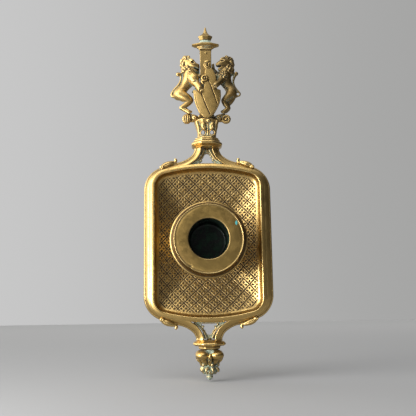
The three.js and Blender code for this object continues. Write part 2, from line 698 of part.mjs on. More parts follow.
add('collar_lower', lowerCollar(), brass(OLD_BRASS));
add('drop_bulb', dropBulb(), brass(OLD_BRASS));
add('drop_stud', cut(dropDowel, [clearance(traceryLower)]), brass(DARK_BRASS));
add('drop_leaves', dropLeaves(), brass(DARK_BRASS));
add('drop_tip', dropTip(), brass(DARK_BRASS));

add('candle_socket', candleSocket(), brass(OLD_BRASS));
add('socket_screw', socketScrew(), brass(DARK_BRASS));
add('socket_washer', ring(STUD_BORE, WASHER.radius, WASHER.low, WASHER.high, 16), brass(DARK_BRASS));
add('socket_nut', ring(NUT_BORE, NUT_CORNERS, NUT_BOTTOM, NUT_TOP, 6), brass(DARK_BRASS));
add('foot_cap', footCap(), brass(DARK_BRASS));

add('hanger', hanger(), brass(DARK_BRASS));
RIVETS_Z.forEach((z, i) => {
  add(`hanger_rivet_${i + 1}`, hangerRivet(z), brass(DARK_BRASS));
});

const lifted = new THREE.Group();
sconce.add(lifted);
add('nozzle', nozzle(), brass(OLD_BRASS), lifted);

export default sconce;
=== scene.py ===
# Gothic-revival brass wall sconce: the fine castings, turned parts and engraved tray that
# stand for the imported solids, with aged-brass materials, a plain stage, lights and a camera.
# Lengths are millimetres over (x, z, height off the wall) until metres() turns them into the
# frame's own coordinates.
import math

import bmesh
import bpy
import numpy as np
from mathutils import Matrix, Vector


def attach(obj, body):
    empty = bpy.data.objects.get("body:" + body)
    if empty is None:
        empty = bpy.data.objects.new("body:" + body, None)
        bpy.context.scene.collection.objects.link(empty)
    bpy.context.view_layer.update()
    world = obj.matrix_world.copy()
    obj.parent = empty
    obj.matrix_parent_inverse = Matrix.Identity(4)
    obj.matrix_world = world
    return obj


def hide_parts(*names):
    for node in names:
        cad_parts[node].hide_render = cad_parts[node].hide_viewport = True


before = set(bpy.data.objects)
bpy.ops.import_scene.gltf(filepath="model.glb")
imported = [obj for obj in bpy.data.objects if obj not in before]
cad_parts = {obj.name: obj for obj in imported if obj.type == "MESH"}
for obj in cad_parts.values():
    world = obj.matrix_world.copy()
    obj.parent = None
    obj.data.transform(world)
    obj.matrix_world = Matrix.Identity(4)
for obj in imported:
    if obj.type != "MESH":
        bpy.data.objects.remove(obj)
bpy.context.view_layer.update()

MM = 0.001
TURN = 2 * math.pi
FAR = 3.0  # what a clay field holds away from any shape
rng = np.random.default_rng(7)

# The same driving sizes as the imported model.
OPENING = (29.8, 42.0, 96.0, 7.5)  # half width, half height, end radius, corner radius
OUTLINE = (36.3, 48.2, 74.7, 14.0)
RIB_HALF = 2.1
RIM_BACK = 10.9
RIM_SEAT = 13.9
GAP = 0.3
PAN_FLOOR = 5.7
PAN_LIP = RIM_SEAT - GAP
PAN_SHEET = 1.1
PAN_INSET = 1.6
SPINE = 13.4
LION_DEPTH = 14.2
PAW_RISE = 7.4  # of the paws on the shield, over the lions' own depth
ENDS = ((1, "upper"), (-1, "lower"))
HANDS = ((1, "right"), (-1, "left"))


# ------------------------------------------------------------------ meshes
def metres(spots):
    spots = np.asarray(spots, float)
    return np.stack([spots[..., 0], -spots[..., 2], spots[..., 1]], axis=-1) * MM


def volume(points, faces):
    total = 0.0
    for group in faces:
        first = points[group[:, 0]]
        for k in range(1, group.shape[1] - 1):
            cross = np.cross(points[group[:, k]], points[group[:, k + 1]])
            total += float((first * cross).sum())
    return total


def curvature(mesh, rounds):
    """Mean curvature at each vertex in 1/mm, positive in hollows."""
    count = len(mesh.vertices)
    points = np.empty(3 * count)
    normals = np.empty(3 * count)
    ends = np.empty(2 * len(mesh.edges), np.int32)
    mesh.vertices.foreach_get("co", points)
    mesh.vertex_normals.foreach_get("vector", normals)
    mesh.edges.foreach_get("vertices", ends)
    points = points.reshape(-1, 3) / MM
    normals = normals.reshape(-1, 3)
    a, b = ends.reshape(-1, 2).T
    along = points[b] - points[a]
    square = np.maximum((along * along).sum(1), 1e-4)
    bend = np.bincount(a, 2 * (along * normals[a]).sum(1) / square, count)
    bend -= np.bincount(b, 2 * (along * normals[b]).sum(1) / square, count)
    degree = np.bincount(a, minlength=count) + np.bincount(b, minlength=count)
    degree = np.maximum(degree, 1)
    value = bend / degree
    for _ in range(rounds):
        around = np.bincount(a, value[b], count) + np.bincount(b, value[a], count)
        value = (value + around / degree) / 2
    return value


def ramp(value, low, high):
    """A smooth step from 0 at low to 1 at high."""
    share = np.clip((value - low) / (high - low), 0, 1)
    return share * share * (3 - 2 * share)


def paint(mesh, name, values):
    layer = mesh.attributes.new(name, "FLOAT", "POINT")
    layer.data.foreach_set("value", np.asarray(values, np.float32))


def mesh_of(name, spots, faces, recess=None, rounds=3):
    """A closed smooth mesh, outward, with its hollows and its worn edges painted on."""
    faces = [np.asarray(group, np.int32) for group in faces if len(group)]
    points = metres(spots)
    if volume(points, faces) < 0:
        faces = [group[:, ::-1] for group in faces]
    sizes = np.concatenate([np.full(len(group), group.shape[1]) for group in faces])
    corners = np.concatenate([group.ravel() for group in faces])
    mesh = bpy.data.meshes.new(name)
    mesh.vertices.add(len(points))
    mesh.vertices.foreach_set("co", points.ravel())
    mesh.loops.add(len(corners))
    mesh.loops.foreach_set("vertex_index", corners)
    mesh.polygons.add(len(sizes))
    mesh.polygons.foreach_set("loop_start", np.concatenate([[0], np.cumsum(sizes)[:-1]]))
    mesh.polygons.foreach_set("use_smooth", np.ones(len(sizes), bool))
    mesh.update(calc_edges=True)
    mesh.validate()
    bend = curvature(mesh, rounds)
    paint(mesh, "recess", ramp(bend, 0.1, 0.9) if recess is None else recess)
    paint(mesh, "wear", ramp(-bend, 0.12, 1.0))
    return mesh


def piece(name, mesh, material, nodes, body="sconce"):
    """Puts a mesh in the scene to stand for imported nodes."""
    made = bpy.data.objects.new(name, mesh)
    bpy.context.scene.collection.objects.link(made)
    mesh.materials.append(material)
    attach(made, body)
    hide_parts(*nodes)
    return made


# ------------------------------------------------------------------ turned and swept shapes
ROUND_SPOTS = 4  # in each rounded corner of a profile
ON_AXIS = 1e-6  # a radius that counts as none


def soften(profile, radius, closed=False):
    """Rounds each corner of a profile. A third number in a corner is its own radius."""
    count = len(profile)
    result = []
    for i, corner in enumerate(profile):
        here = np.array(corner[:2], float)
        if not closed and i in (0, count - 1):
            result.append(here)
            continue
        before = np.array(profile[i - 1][:2], float) - here
        after = np.array(profile[(i + 1) % count][:2], float) - here
        reach = corner[2] if len(corner) > 2 else radius
        near, far = np.linalg.norm(before), np.linalg.norm(after)
        trim = min(reach, 0.45 * near, 0.45 * far)
        start, end = here + before / near * trim, here + after / far * trim
        for s in np.linspace(0, 1, ROUND_SPOTS):
            result.append((1 - s) ** 2 * start + 2 * s * (1 - s) * here + s * s * end)
    return np.array(result)


def arc(x, y, radius, start, end, steps):
    angles = np.radians(np.linspace(start, end, steps + 1))
    return [(x + radius * math.cos(a), y + radius * math.sin(a)) for a in angles]


def grid_faces(rows, columns, wrap_rows=False, wrap_columns=True):
    """Four-sided faces over a grid of spots numbered row by row."""
    i = np.arange(rows if wrap_rows else rows - 1)
    j = np.arange(columns if wrap_columns else columns - 1)
    i, j = [each.ravel() for each in np.meshgrid(i, j, indexing="ij")]
    up, across = (i + 1) % rows, (j + 1) % columns
    return np.stack([i * columns + j, i * columns + across,
                     up * columns + across, up * columns + j], axis=1)


def octagon(angles, sharpness=36):
    """How far out an octagon with a flat to the front reaches, for a half width of 1."""
    sides = [np.abs(np.cos(angles - k * TURN / 8)) ** sharpness for k in range(4)]
    return sum(sides) ** (-1 / sharpness)


def turned(profile, segments=96, upright=False, x=0, z=0, radial=None, closed=False):
    """Spots and faces of a profile turned about a line square to the wall, or an upright one.
    Profiles are (radius, height) or, upright, (radius, z)."""
    angles = np.arange(segments) * TURN / segments
    reach = np.ones(segments) if radial is None else radial(angles)
    profile = np.asarray(profile, float)
    radius = np.outer(profile[:, 0], reach)
    across, level = radius * np.cos(angles), np.repeat(profile[:, 1:2], segments, axis=1)
    deep = radius * np.sin(angles)
    if upright:
        spots = np.stack([across + x, level + z, SPINE - deep], axis=-1)
    else:
        spots = np.stack([across + x, deep + z, level], axis=-1)
    rows = len(profile)
    quads = grid_faces(rows, segments, wrap_rows=closed)
    spots = spots.reshape(-1, 3)
    if closed:
        return spots, [quads]
    # A row on the axis is one spot, and the faces that meet there have three sides.
    index = np.arange(rows * segments)
    for row in (0, rows - 1):
        if profile[row, 0] < ON_AXIS:
            index[row * segments:(row + 1) * segments] = row * segments
    quads = index[quads]
    flat_start = quads[:, 0] == quads[:, 1]
    flat_end = quads[:, 2] == quads[:, 3]
    faces = [quads[~(flat_start | flat_end)], quads[flat_start][:, 1:], quads[flat_end][:, :3]]
    used, faces = compact(faces)
    return spots[used], faces


def compact(faces):
    """Which spots the faces use, and the faces numbered over those alone."""
    used, inverse = np.unique(np.concatenate([group.ravel() for group in faces]),
                              return_inverse=True)
    groups, start = [], 0
    for group in faces:
        groups.append(inverse[start:start + group.size].reshape(group.shape))
        start += group.size
    return used, groups


def swept(path, normals, section, closed):
    """A closed section of (out, height) carried along a path of (x, z)."""
    section = np.asarray(section)
    flat = path[:, None, :] + normals[:, None, :] * section[None, :, :1]
    height = np.broadcast_to(section[None, :, 1:], (len(path), len(section), 1))
    spots = np.concatenate([flat, height], axis=-1)
    rows, columns = spots.shape[:2]
    faces = [grid_faces(rows, columns, wrap_rows=closed)]
    if not closed:
        faces.append(np.arange(columns)[None, ::-1])
        faces.append((rows - 1) * columns + np.arange(columns)[None, :])
    return spots.reshape(-1, 3), faces


def through(points, steps):
    """A smooth curve through points of any dimension."""
    points = np.asarray(points, float)
    ends = np.concatenate([[2 * points[0] - points[1]], points, [2 * points[-1] - points[-2]]])
    result = []
    for i in range(1, len(ends) - 2):
        p0, p1, p2, p3 = ends[i - 1:i + 3]
        for t in np.arange(steps) / steps:
            result.append(0.5 * (2 * p1 + (p2 - p0) * t + (2 * p0 - 5 * p1 + 4 * p2 - p3) * t ** 2
                                 + (3 * p1 - p0 - 3 * p2 + p3) * t ** 3))
    result.append(points[-1])
    return np.array(result)


# ------------------------------------------------------------------ clay
class Clay:
    """Castings: a distance field on a grid, shaped by adding and carving. Every shape put on it
    is mirrored by the signs in mirror and raised by level."""

    def __init__(self, low, high, cell=0.2, level=0.0, right=1, up=1):
        self.cell, self.level, self.mirror = cell, level, np.array([right, up, 1])
        corners = np.array([low, high]) * self.mirror
        self.axes = [np.arange(a, b + cell, cell) for a, b in zip(corners.min(0), corners.max(0))]
        self.field = np.full([len(axis) for axis in self.axes], FAR, np.float32)

    def placed(self, spot):
        return np.asarray(spot[:3], float) * self.mirror + [0, 0, self.level]

    def near(self, low, high):
        """The part of the grid between two corners: its slices and its coordinates."""
        cuts = []
        for axis, a, b in zip(self.axes, low, high):
            start = int(np.clip((a - axis[0]) // self.cell, 0, len(axis) - 2))
            stop = int(np.clip((b - axis[0]) // self.cell + 2, start + 2, len(axis)))
            cuts.append(slice(start, stop))
        grid = np.ix_(*[axis[cut] for axis, cut in zip(self.axes, cuts)])
        return tuple(cuts), grid

    def put(self, cuts, distance, soft, carve=False):
        """Adds or carves a shape, blended into what is there over a width of soft."""
        old = self.field[cuts]
        if carve:
            old = -old
        share = np.clip(0.5 + 0.5 * (old - distance) / soft, 0, 1)
        new = old + (distance - old) * share - soft * share * (1 - share)
        self.field[cuts] = -new if carve else new

    def rod(self, a, b, soft=0.4, carve=False, flat=1.0):
        """A tapered rod between two (x, z, height, radius)."""
        thick, swell = a[3], b[3] - a[3]
        a, b = self.placed(a), self.placed(b)
        reach = thick + max(swell, 0) + soft + 2 * self.cell
        cuts, (x, z, h) = self.near(np.minimum(a, b) - reach, np.maximum(a, b) + reach)
        along = b - a
        length = max(float(along @ along), 1e-6)
        px, pz, ph = x - a[0], z - a[1], h - a[2]
        t = np.clip((px * along[0] + pz * along[1] + ph * along[2]) / length, 0, 1)
        gap = np.sqrt((px - t * along[0]) ** 2 + (pz - t * along[1]) ** 2
                      + ((ph - t * along[2]) / flat) ** 2)
        self.put(cuts, gap - (thick + swell * t), soft, carve)

    def limb(self, spots, soft=0.4, steps=4, carve=False, flat=1.0):
        """A smooth run of rods through (x, z, height, radius)."""
        curve = through(spots, steps)
        for a, b in zip(curve[:-1], curve[1:]):
            self.rod(a, b, soft, carve, flat)

    def groove(self, spots, soft, steps=4):
        self.limb(spots, soft, steps, carve=True)

    def dent(self, spot, radii, soft, turn=0):
        self.ball(spot, radii, soft, carve=True, turn=turn)

    def ball(self, spot, radii, soft, carve=False, turn=0):
        """An ellipsoid; turn is degrees from x towards z."""
        radii = np.broadcast_to(np.asarray(radii, float), 3)
        spot = self.placed(spot)
        turn *= self.mirror[0] * self.mirror[1]
        reach = radii.max() + soft + 2 * self.cell
        cuts, (x, z, h) = self.near(spot - reach, spot + reach)
        c, s = math.cos(math.radians(turn)), math.sin(math.radians(turn))
        px, pz = x - spot[0], z - spot[1]
        u, v, w = (px * c + pz * s), (pz * c - px * s), h - spot[2]
        k0 = np.sqrt((u / radii[0]) ** 2 + (v / radii[1]) ** 2 + (w / radii[2]) ** 2)
        k1 = np.sqrt((u / radii[0] ** 2) ** 2 + (v / radii[1] ** 2) ** 2
                     + (w / radii[2] ** 2) ** 2)
        self.put(cuts, k0 * (k0 - 1) / np.maximum(k1, 1e-6), soft, carve)

    def ring(self, spot, radius, thick, soft=0.3, carve=False):
        """A torus facing the front."""
        spot = self.placed(spot)
        reach = radius + thick + soft + 2 * self.cell
        cuts, (x, z, h) = self.near(spot - reach, spot + reach)
        px, pz, ph = x - spot[0], z - spot[1], h - spot[2]
        gap = np.sqrt((np.sqrt(px * px + pz * pz) - radius) ** 2 + ph * ph)
        self.put(cuts, gap - thick, soft, carve)

    def slab(self, outline, low, high, soft=0.3, carve=False, rounding=0.2, bow=None):
        """A plate with an outline of (x, z), between heights that bow(x, z) may shift."""
        outline = np.asarray(outline, float) * self.mirror[:2]
        edge = soft + rounding + 2 * self.cell
        bottom = np.concatenate([outline.min(0) - edge, [low - edge - 3]])
        top = np.concatenate([outline.max(0) + edge, [high + edge + 3]])
        cuts, (x, z, h) = self.near(bottom, top)
        inside = outline_distance(outline, x[..., 0], z[..., 0])[..., None]
        middle, half = (low + high) / 2, (high - low) / 2
        shift = 0 if bow is None else bow(x, z)
        across, flat = np.broadcast_arrays(inside + rounding,
                                           np.abs(h - middle - shift) - half + rounding)
        outer = np.sqrt(np.maximum(across, 0) ** 2 + np.maximum(flat, 0) ** 2)
        self.put(cuts, outer + np.minimum(np.maximum(across, flat), 0) - rounding, soft, carve)

    def mesh(self, name):
        spots, quads = surface(self.field, self.axes)
        return mesh_of(name, spots, [quads], rounds=4)


def outline_distance(outline, x, z):
    """Signed distance to a closed outline, negative inside."""
    x, z = np.broadcast_arrays(x, z)
    best = np.full(x.shape, 1e9)
    sign = np.ones(x.shape)
    for (ax, az), (bx, bz) in zip(outline, np.roll(outline, -1, axis=0)):
        ex, ez = bx - ax, bz - az
        wx, wz = x - ax, z - az
        t = np.clip((wx * ex + wz * ez) / max(ex * ex + ez * ez, 1e-9), 0, 1)
        best = np.minimum(best, (wx - ex * t) ** 2 + (wz - ez * t) ** 2)
        above, before, left = z >= az, z < bz, ex * wz > ez * wx
        crossing = (above & before & left) | (~above & ~before & ~left)
        sign = np.where(crossing, -sign, sign)
    return sign * np.sqrt(best)


CUBE = np.array([(i, j, k) for i in (0, 1) for j in (0, 1) for k in (0, 1)])
CUBE_EDGES = [(a, b) for a in range(8) for b in range(a + 1, 8)
              if abs(CUBE[a] - CUBE[b]).sum() == 1]


def surface(field, axes):
    """The zero surface of a field as quads, one point to each cell that it crosses."""
    field = field.copy()
    for axis in range(3):
        edge = np.moveaxis(field, axis, 0)
        edge[0] = np.maximum(edge[0], 0.05)
        edge[-1] = np.maximum(edge[-1], 0.05)
    cells = tuple(n - 1 for n in field.shape)
    corners = [field[i:i + cells[0], j:j + cells[1], k:k + cells[2]] for i, j, k in CUBE]
    inside = sum((corner < 0).astype(np.int8) for corner in corners)
    crossed = (inside > 0) & (inside < 8)
    index = np.full(cells, -1, np.int32)
    index[crossed] = np.arange(int(crossed.sum()))
    values = [corner[crossed] for corner in corners]
    total = np.zeros((len(values[0]), 3))
    number = np.zeros(len(values[0]))
    for a, b in CUBE_EDGES:
        cut = (values[a] < 0) != (values[b] < 0)
        t = np.where(cut, values[a] / np.where(cut, values[a] - values[b], 1), 0)
        total += np.where(cut[:, None], CUBE[a] + t[:, None] * (CUBE[b] - CUBE[a]), 0)
        number += cut
    base = np.argwhere(crossed)
    cell = axes[0][1] - axes[0][0]
    spots = np.array([axis[0] for axis in axes]) + cell * (base + total / number[:, None])
    quads = []
    for axis in range(3):
        first, second = [other for other in range(3) if other != axis]
        inner = [slice(1, -1)] * 3
        inner[axis] = slice(0, -1)
        outer = [slice(1, -1)] * 3
        outer[axis] = slice(1, None)
        low, high = field[tuple(inner)] < 0, field[tuple(outer)] < 0
        here = np.argwhere(low != high)
        starts_inside = low[low != high]
        here[:, first] += 1
        here[:, second] += 1
        around = []
        for di, dj in ((1, 1), (0, 1), (0, 0), (1, 0)):
            spot = here.copy()
            spot[:, first] -= di
            spot[:, second] -= dj
            around.append(index[tuple(spot.T)])
        quad = np.stack(around, axis=1)
        flip = starts_inside if axis != 1 else ~starts_inside
        quad[flip] = quad[flip][:, ::-1]
        quads.append(quad)
    return spots, np.concatenate(quads)


# ------------------------------------------------------------------ materials
class Value:
    """A shader value that adds, subtracts and multiplies like a number."""

    def __init__(self, nodes, socket):
        self.nodes, self.socket = nodes, socket

    def __add__(self, other):
        return self.nodes.math("ADD", self, other)

    def __sub__(self, other):
        return self.nodes.math("SUBTRACT", self, other)

    def __rsub__(self, other):
        return self.nodes.math("SUBTRACT", other, self)

    def __mul__(self, other):
        return self.nodes.math("MULTIPLY", self, other)

    def clamped(self):
        self.socket.node.use_clamp = True
        return self


class Nodes:
    """Short names for the nodes that the materials use."""

    def __init__(self, tree):
        self.tree = tree
        coordinates = self.add("ShaderNodeTexCoord")
        self.place = Value(self, coordinates.outputs["Object"])
        self.direction = Value(self, coordinates.outputs["Generated"])

    def add(self, kind, **settings):
        node = self.tree.nodes.new(kind)
        for name, value in settings.items():
            setattr(node, name, value)
        return node

    def made(self, node, output, **inputs):
        """The output of a node, once its inputs are fed. A name's underscores are spaces."""
        for name, value in inputs.items():
            self.feed(node.inputs[name.replace("_", " ")], value)
        return Value(self, node.outputs[output])

    def feed(self, socket, value):
        if isinstance(value, Value):
            self.tree.links.new(value.socket, socket)
        elif isinstance(value, tuple) and len(value) == 3 and socket.type == "RGBA":
            socket.default_value = (*value, 1)
        else:
            socket.default_value = value

    def noise(self, scale, detail, roughness=0.55, distortion=0.0):
        return self.made(self.add("ShaderNodeTexNoise"), "Fac", Vector=self.place, Scale=scale,
                         Detail=detail, Roughness=roughness, Distortion=distortion)

    def band(self, value, low, high, to_low=0.0, to_high=1.0):
        return self.made(self.add("ShaderNodeMapRange", interpolation_type="SMOOTHSTEP"), "Result",
                         Value=value, From_Min=low, From_Max=high, To_Min=to_low, To_Max=to_high)

    def math(self, operation, a, b=0.0):
        node = self.add("ShaderNodeMath", operation=operation)
        self.feed(node.inputs[0], a)
        self.feed(node.inputs[1], b)
        return Value(self, node.outputs[0])

    def blend(self, share, a, b):
        return self.made(self.add("ShaderNodeMix", data_type="RGBA"), "Result", Factor=share,
                         A=a, B=b)

    def split(self, vector):
        """The x, y and z of a vector."""
        node = self.add("ShaderNodeSeparateXYZ")
        self.feed(node.inputs[0], vector)
        return [Value(self, output) for output in node.outputs]

    def bump(self, height, strength, distance):
        return self.made(self.add("ShaderNodeBump"), "Normal", Height=height, Strength=strength,
                         Distance=distance)

    def inside(self, spot):
        """1 within an upright oval of (x, z, half width, half height) in mm, ragged at its edge."""
        x, z, wide, tall = [size * MM for size in spot]
        here_x, _, here_z = self.split(self.place)
        across = self.math("DIVIDE", here_x - x, wide)
        along = self.math("DIVIDE", here_z - z, tall)
        far = self.math("SQRT", across * across + along * along)
        return self.band(far + self.noise(1800, 2) * 0.5, 1.3, 1.1)

    def painted(self, name):
        node = self.add("ShaderNodeAttribute", attribute_name=name)
        return Value(self, node.outputs["Fac"])


def shaded(name):
    """A new material, its shader and the nodes to feed it."""
    material = bpy.data.materials.new(name)
    material.use_nodes = True
    return material, material.node_tree.nodes["Principled BSDF"], Nodes(material.node_tree)


BRIGHT = (0.83, 0.60, 0.25)
GOLD = (0.55, 0.37, 0.130)
BROWN = (0.30, 0.185, 0.066)
# A near-black brown for grime, and for the painted shade in hollows.
GRIME_AND_SHADE = (0.060, 0.038, 0.016)
VERDIGRIS = (0.36, 0.42, 0.32)
TURQUOISE = (0.07, 0.36, 0.36)
PALE_GREEN = (0.36, 0.42, 0.33)
# The next two colours are near black: soot and dark specks, the dark green patina of the bore, and a
# painted shade deep in the bore.
SOOT_AND_SHADE = (0.003, 0.005, 0.004)
BORE_GREEN = (0.016, 0.040, 0.024)
WAX = (0.060, 0.055, 0.030)


def aged_brass(name, gold=GOLD, bright=BRIGHT, tarnish=0.5, grime_and_shade=0.6, green=0.3, rough=0.34,
               grain=0.3, rubbed=0.75, shade=0.0035, fleck=None, crust=None, specks=()):
    """Old brass: bright where hands rub it, brown in patches, green with patina in its hollows, and
    dark there with grime and a painted shade.
    """
    material, shader, n = shaded(name)
    recess, wear = n.painted("recess"), n.painted("wear")
    around = n.made(n.add("ShaderNodeAmbientOcclusion", samples=6), "AO", Distance=shade)
    shut = n.band(around, 0.78, 0.28)
    wide = n.noise(62, 4, 0.6, 0.6)
    patch = n.noise(310, 4, 0.6, 0.3)
    speck = n.noise(1500, 3, 0.6)
    fine = n.noise(4200, 2, 0.5)

    # How much of each kind of age, and of the painted shade in the hollows, shows, from 0 to 1.
    stain = n.band(wide * 0.62 + patch * 0.38, 0.60 - 0.16 * tarnish, 0.74 - 0.14 * tarnish)
    stain = stain * (0.35 + 0.5 * tarnish)
    # Grime and a painted shade: darker where the surface is hollow and where ambient occlusion finds it
    # shut in.
    dirt_and_shade = (recess * 0.8 + shut * 0.75) * n.band(patch, 0.3, 0.62, 0.45, 1.15)
    dirt_and_shade = (dirt_and_shade * (grime_and_shade * 1.35)).clamped()
    hollow = n.band(recess * 0.35 + shut, 0.40 - 0.28 * green, 0.95 - 0.45 * green)
    hollow = hollow * n.band(wide * 0.5 + patch * 0.5, 0.60 - 0.2 * green, 0.70 - 0.2 * green)
    hollow = (hollow * min(1.0, 0.35 + green)).clamped()
    rub = wear * n.band(patch, 0.25, 0.6, 0.5, 1.0)

    darker = tuple(0.8 * part for part in gold)
    colour = n.blend(n.band(patch, 0.3, 0.75, 0.0, 0.55), gold, darker)
    colour = n.blend(stain, colour, BROWN)
    colour = n.blend(rub * rubbed, colour, bright)
    colour = n.blend(n.band(speck, 0.70, 0.78) * 0.35, colour, GRIME_AND_SHADE)
    colour = n.blend(dirt_and_shade, colour, GRIME_AND_SHADE)
    colour = n.blend(hollow, colour, VERDIGRIS)
    metal = (1.0 - dirt_and_shade * 0.55 - hollow * 0.95).clamped()
    gloss = n.band(patch, 0.3, 0.7, rough - 0.05, rough + 0.08)
    gloss = (gloss + stain * 0.10 + dirt_and_shade * 0.25 + hollow * 0.35 - rub * 0.08).clamped()

    marks = [(fleck, TURQUOISE), (crust, PALE_GREEN)] + [(spot, SOOT_AND_SHADE) for spot in specks]
    for spot, tint in marks:
        if spot:
            mark = n.inside(spot)
            colour = n.blend(mark, colour, tint)
            metal = metal * (1.0 - mark)
    n.feed(shader.inputs["Base Color"], colour)
    n.feed(shader.inputs["Metallic"], metal)
    n.feed(shader.inputs["Roughness"], gloss)
    n.feed(shader.inputs["Normal"], n.bump(speck * 0.6 + fine * 0.4, grain, 0.00012))
    return material


def bore_patina_and_shade(name):
    """The candle bore: wax, smoke and dark green patina over brass, kept near black as a painted shade
    for the depth of the bore.
    """
    material, shader, n = shaded(name)
    patch, fine = n.noise(260, 4, 0.65, 0.4), n.noise(2400, 3, 0.6)
    green = n.blend(n.band(patch, 0.42, 0.66), SOOT_AND_SHADE, BORE_GREEN)
    n.feed(shader.inputs["Base Color"], n.blend(n.band(fine, 0.60, 0.72, 0.0, 0.5), green, WAX))
    n.feed(shader.inputs["Metallic"], n.band(patch, 0.35, 0.7, 0.15, 0.7))
    n.feed(shader.inputs["Roughness"], n.band(fine, 0.3, 0.7, 0.26, 0.5))
    n.feed(shader.inputs["Specular IOR Level"], 0.35)
    n.feed(shader.inputs["Normal"], n.bump(patch + fine * 0.4, 0.5, 0.0003))
    return material


frame_brass = aged_brass(
    "frame_brass", tarnish=0.45, green=0.25, rough=0.33, grain=0.22,
    specks=((23.0, 44.3, 0.34, 0.34), (-33.8, -13.0, 0.4, 0.28), (29.6, -11.0, 0.3, 0.5)))
tray_brass = aged_brass("tray_brass", (0.56, 0.388, 0.148), tarnish=0.6, grime_and_shade=1.3, green=0.05,
                        rough=0.40, grain=0.22)
crest_brass = aged_brass("crest_brass", (0.52, 0.349, 0.123), (0.66, 0.50, 0.24), tarnish=0.35,
                         grime_and_shade=1.2, green=0.7, rough=0.38, rubbed=0.35, shade=0.006)
shield_brass = aged_brass("shield_brass", (0.48, 0.325, 0.115), (0.66, 0.48, 0.22), tarnish=0.3,
                          grime_and_shade=1.7, green=0.15, rough=0.42, grain=0.2, rubbed=0.0, shade=0.003)
dark_brass = aged_brass("dark_brass", (0.4, 0.272, 0.0984), (0.70, 0.55, 0.30), grime_and_shade=1.9,
                        green=1.0, rough=0.42, rubbed=0.5, shade=0.006)
# Painted shade: a darker copy of the crest brass for the right lion, away from the light, and for the
# webs behind the lions.
painted_shade_brass = aged_brass("painted_shade_brass", (0.27, 0.183, 0.07), (0.60, 0.44, 0.20), tarnish=0.45,
                       grime_and_shade=1.5, green=0.7, rough=0.42, rubbed=0.3, shade=0.007)
green_brass = aged_brass("verdigris_brass", (0.48, 0.33, 0.123), (0.64, 0.49, 0.24), tarnish=0.55,
                         grime_and_shade=0.9, green=0.95, rough=0.44, grain=0.4, rubbed=0.4, shade=0.006)
roof_brass = aged_brass("roof_brass", (0.45, 0.306, 0.111), grime_and_shade=0.8, green=0.9, rough=0.44,
                        grain=0.2, rubbed=0.1, shade=0.005, crust=(0, 121.0, 20, 1.25))
# Painted shade: a very dark brown brass for the side of the nozzle's flange and the edge of its bore,
# which lie in shade.
flank_shade_brass = aged_brass("flank_shade_brass", (0.14, 0.0825, 0.0287), (0.42, 0.30, 0.13), tarnish=0.8,
                         grime_and_shade=0.9, green=0.1, rough=0.42)
post_brass = aged_brass("post_brass", (0.34, 0.23, 0.085), tarnish=0.4, grime_and_shade=0.9, green=0.45,
                        rough=0.42, grain=0.12, rubbed=0.1, shade=0.005)
bulb_brass = aged_brass("bulb_brass", (0.47, 0.315, 0.107), tarnish=0.45, grime_and_shade=1.0, green=0.4,
                        rough=0.38, rubbed=0.5, crust=(0, -60.2, 2.4, 1.1))
cup_brass = aged_brass("nozzle_brass", (0.435, 0.291, 0.0943), (0.62, 0.46, 0.2), tarnish=0.6,
                       grime_and_shade=0.8, green=0.1, rough=0.36, grain=0.28, fleck=(14.9, 8.3, 0.66, 1.3))
dull_brass = aged_brass("hidden_brass", (0.42, 0.272, 0.082), tarnish=0.8, green=0.35, rough=0.46,
                        grain=0.45)
bore_patina_shade = bore_patina_and_shade("bore_patina_and_shade")


# ------------------------------------------------------------------ frame
def grown(outline, by):
    return tuple(size + by for size in outline)


def quarter(outline, end_steps, corner_steps):
    """Spots and outward normals from the middle of the upper end to the middle of a side."""
    half_x, half_z, end, corner = outline
    centre, corner_x = half_z - end, half_x - corner
    reach = end - corner
    corner_z = centre + math.sqrt(reach ** 2 - corner_x ** 2)
    meet = math.asin(corner_x / reach)
    spots, normals = [], []
    for angle in np.linspace(0, meet, end_steps, endpoint=False):
        normals.append((math.sin(angle), math.cos(angle)))
        spots.append((end * math.sin(angle), centre + end * math.cos(angle)))
    for angle in np.linspace(meet, math.pi / 2, corner_steps + 1):
        normals.append((math.sin(angle), math.cos(angle)))
        spots.append((corner_x + corner * math.sin(angle), corner_z + corner * math.cos(angle)))
    return np.array(spots), np.array(normals)


def whole_loop(outline):
    """The whole outline, from its right half and the same turned half way round."""
    spots, normals = quarter(outline, end_steps=28, corner_steps=22)
    flip = np.array([1, -1])
    right = np.concatenate([spots, (spots * flip)[::-1]])
    right_out = np.concatenate([normals, (normals * flip)[::-1]])
    return np.concatenate([right, -right]), np.concatenate([right_out, -right_out])


def distinct(spots, normals):
    """Drops a spot that repeats the one before it."""
    keep = np.linalg.norm(spots - np.roll(spots, 1, axis=0), axis=1) > 1e-6
    return spots[keep], normals[keep]


# Sections are (out from the path, height).
INNER_SECTION = soften(
    [(-1.8, 14.05, 0.1), (-1.2, 14.35, 1), (-0.6, 15.1, 1), (-0.25, 16.2, 1), (-0.1, 17.2, 0.3),
     (0.05, 17.85, 0.2), (0.4, 18.1, 0.3), (1.1, 18.05, 0.5), (1.8, 17.9, 0.6), (2.75, 17.45, 0.3),
     (2.75, RIM_SEAT, 0.2), (-1.8, RIM_SEAT, 0.1)], 0.25, closed=True)
RIB_SECTION = soften(
    [(-RIB_HALF, RIM_BACK, 0.3), (-RIB_HALF, 17.2, 0.2), (-1.9, 17.5, 0.2), (-1.4, 17.45, 0.6),
     (-0.6, 17.1, 1.5), (0.1, 16.6, 1.5), (0.7, 15.9, 0.8), (0.95, 15.4, 0.1), (1.1, 15.25, 0.1),
     (1.3, 15.4, 0.2), (1.8, 14.9, 0.4), (RIB_HALF, 14.1, 0.4), (RIB_HALF, 12.2, 0.5),
     (1.6, RIM_BACK, 0.3)], 0.2, closed=True)
OGEE = [(5.2, 54.3), (5.3, 52.6), (6.9, 49.5), (9.8, 46.95), (13.3, 45.15)]
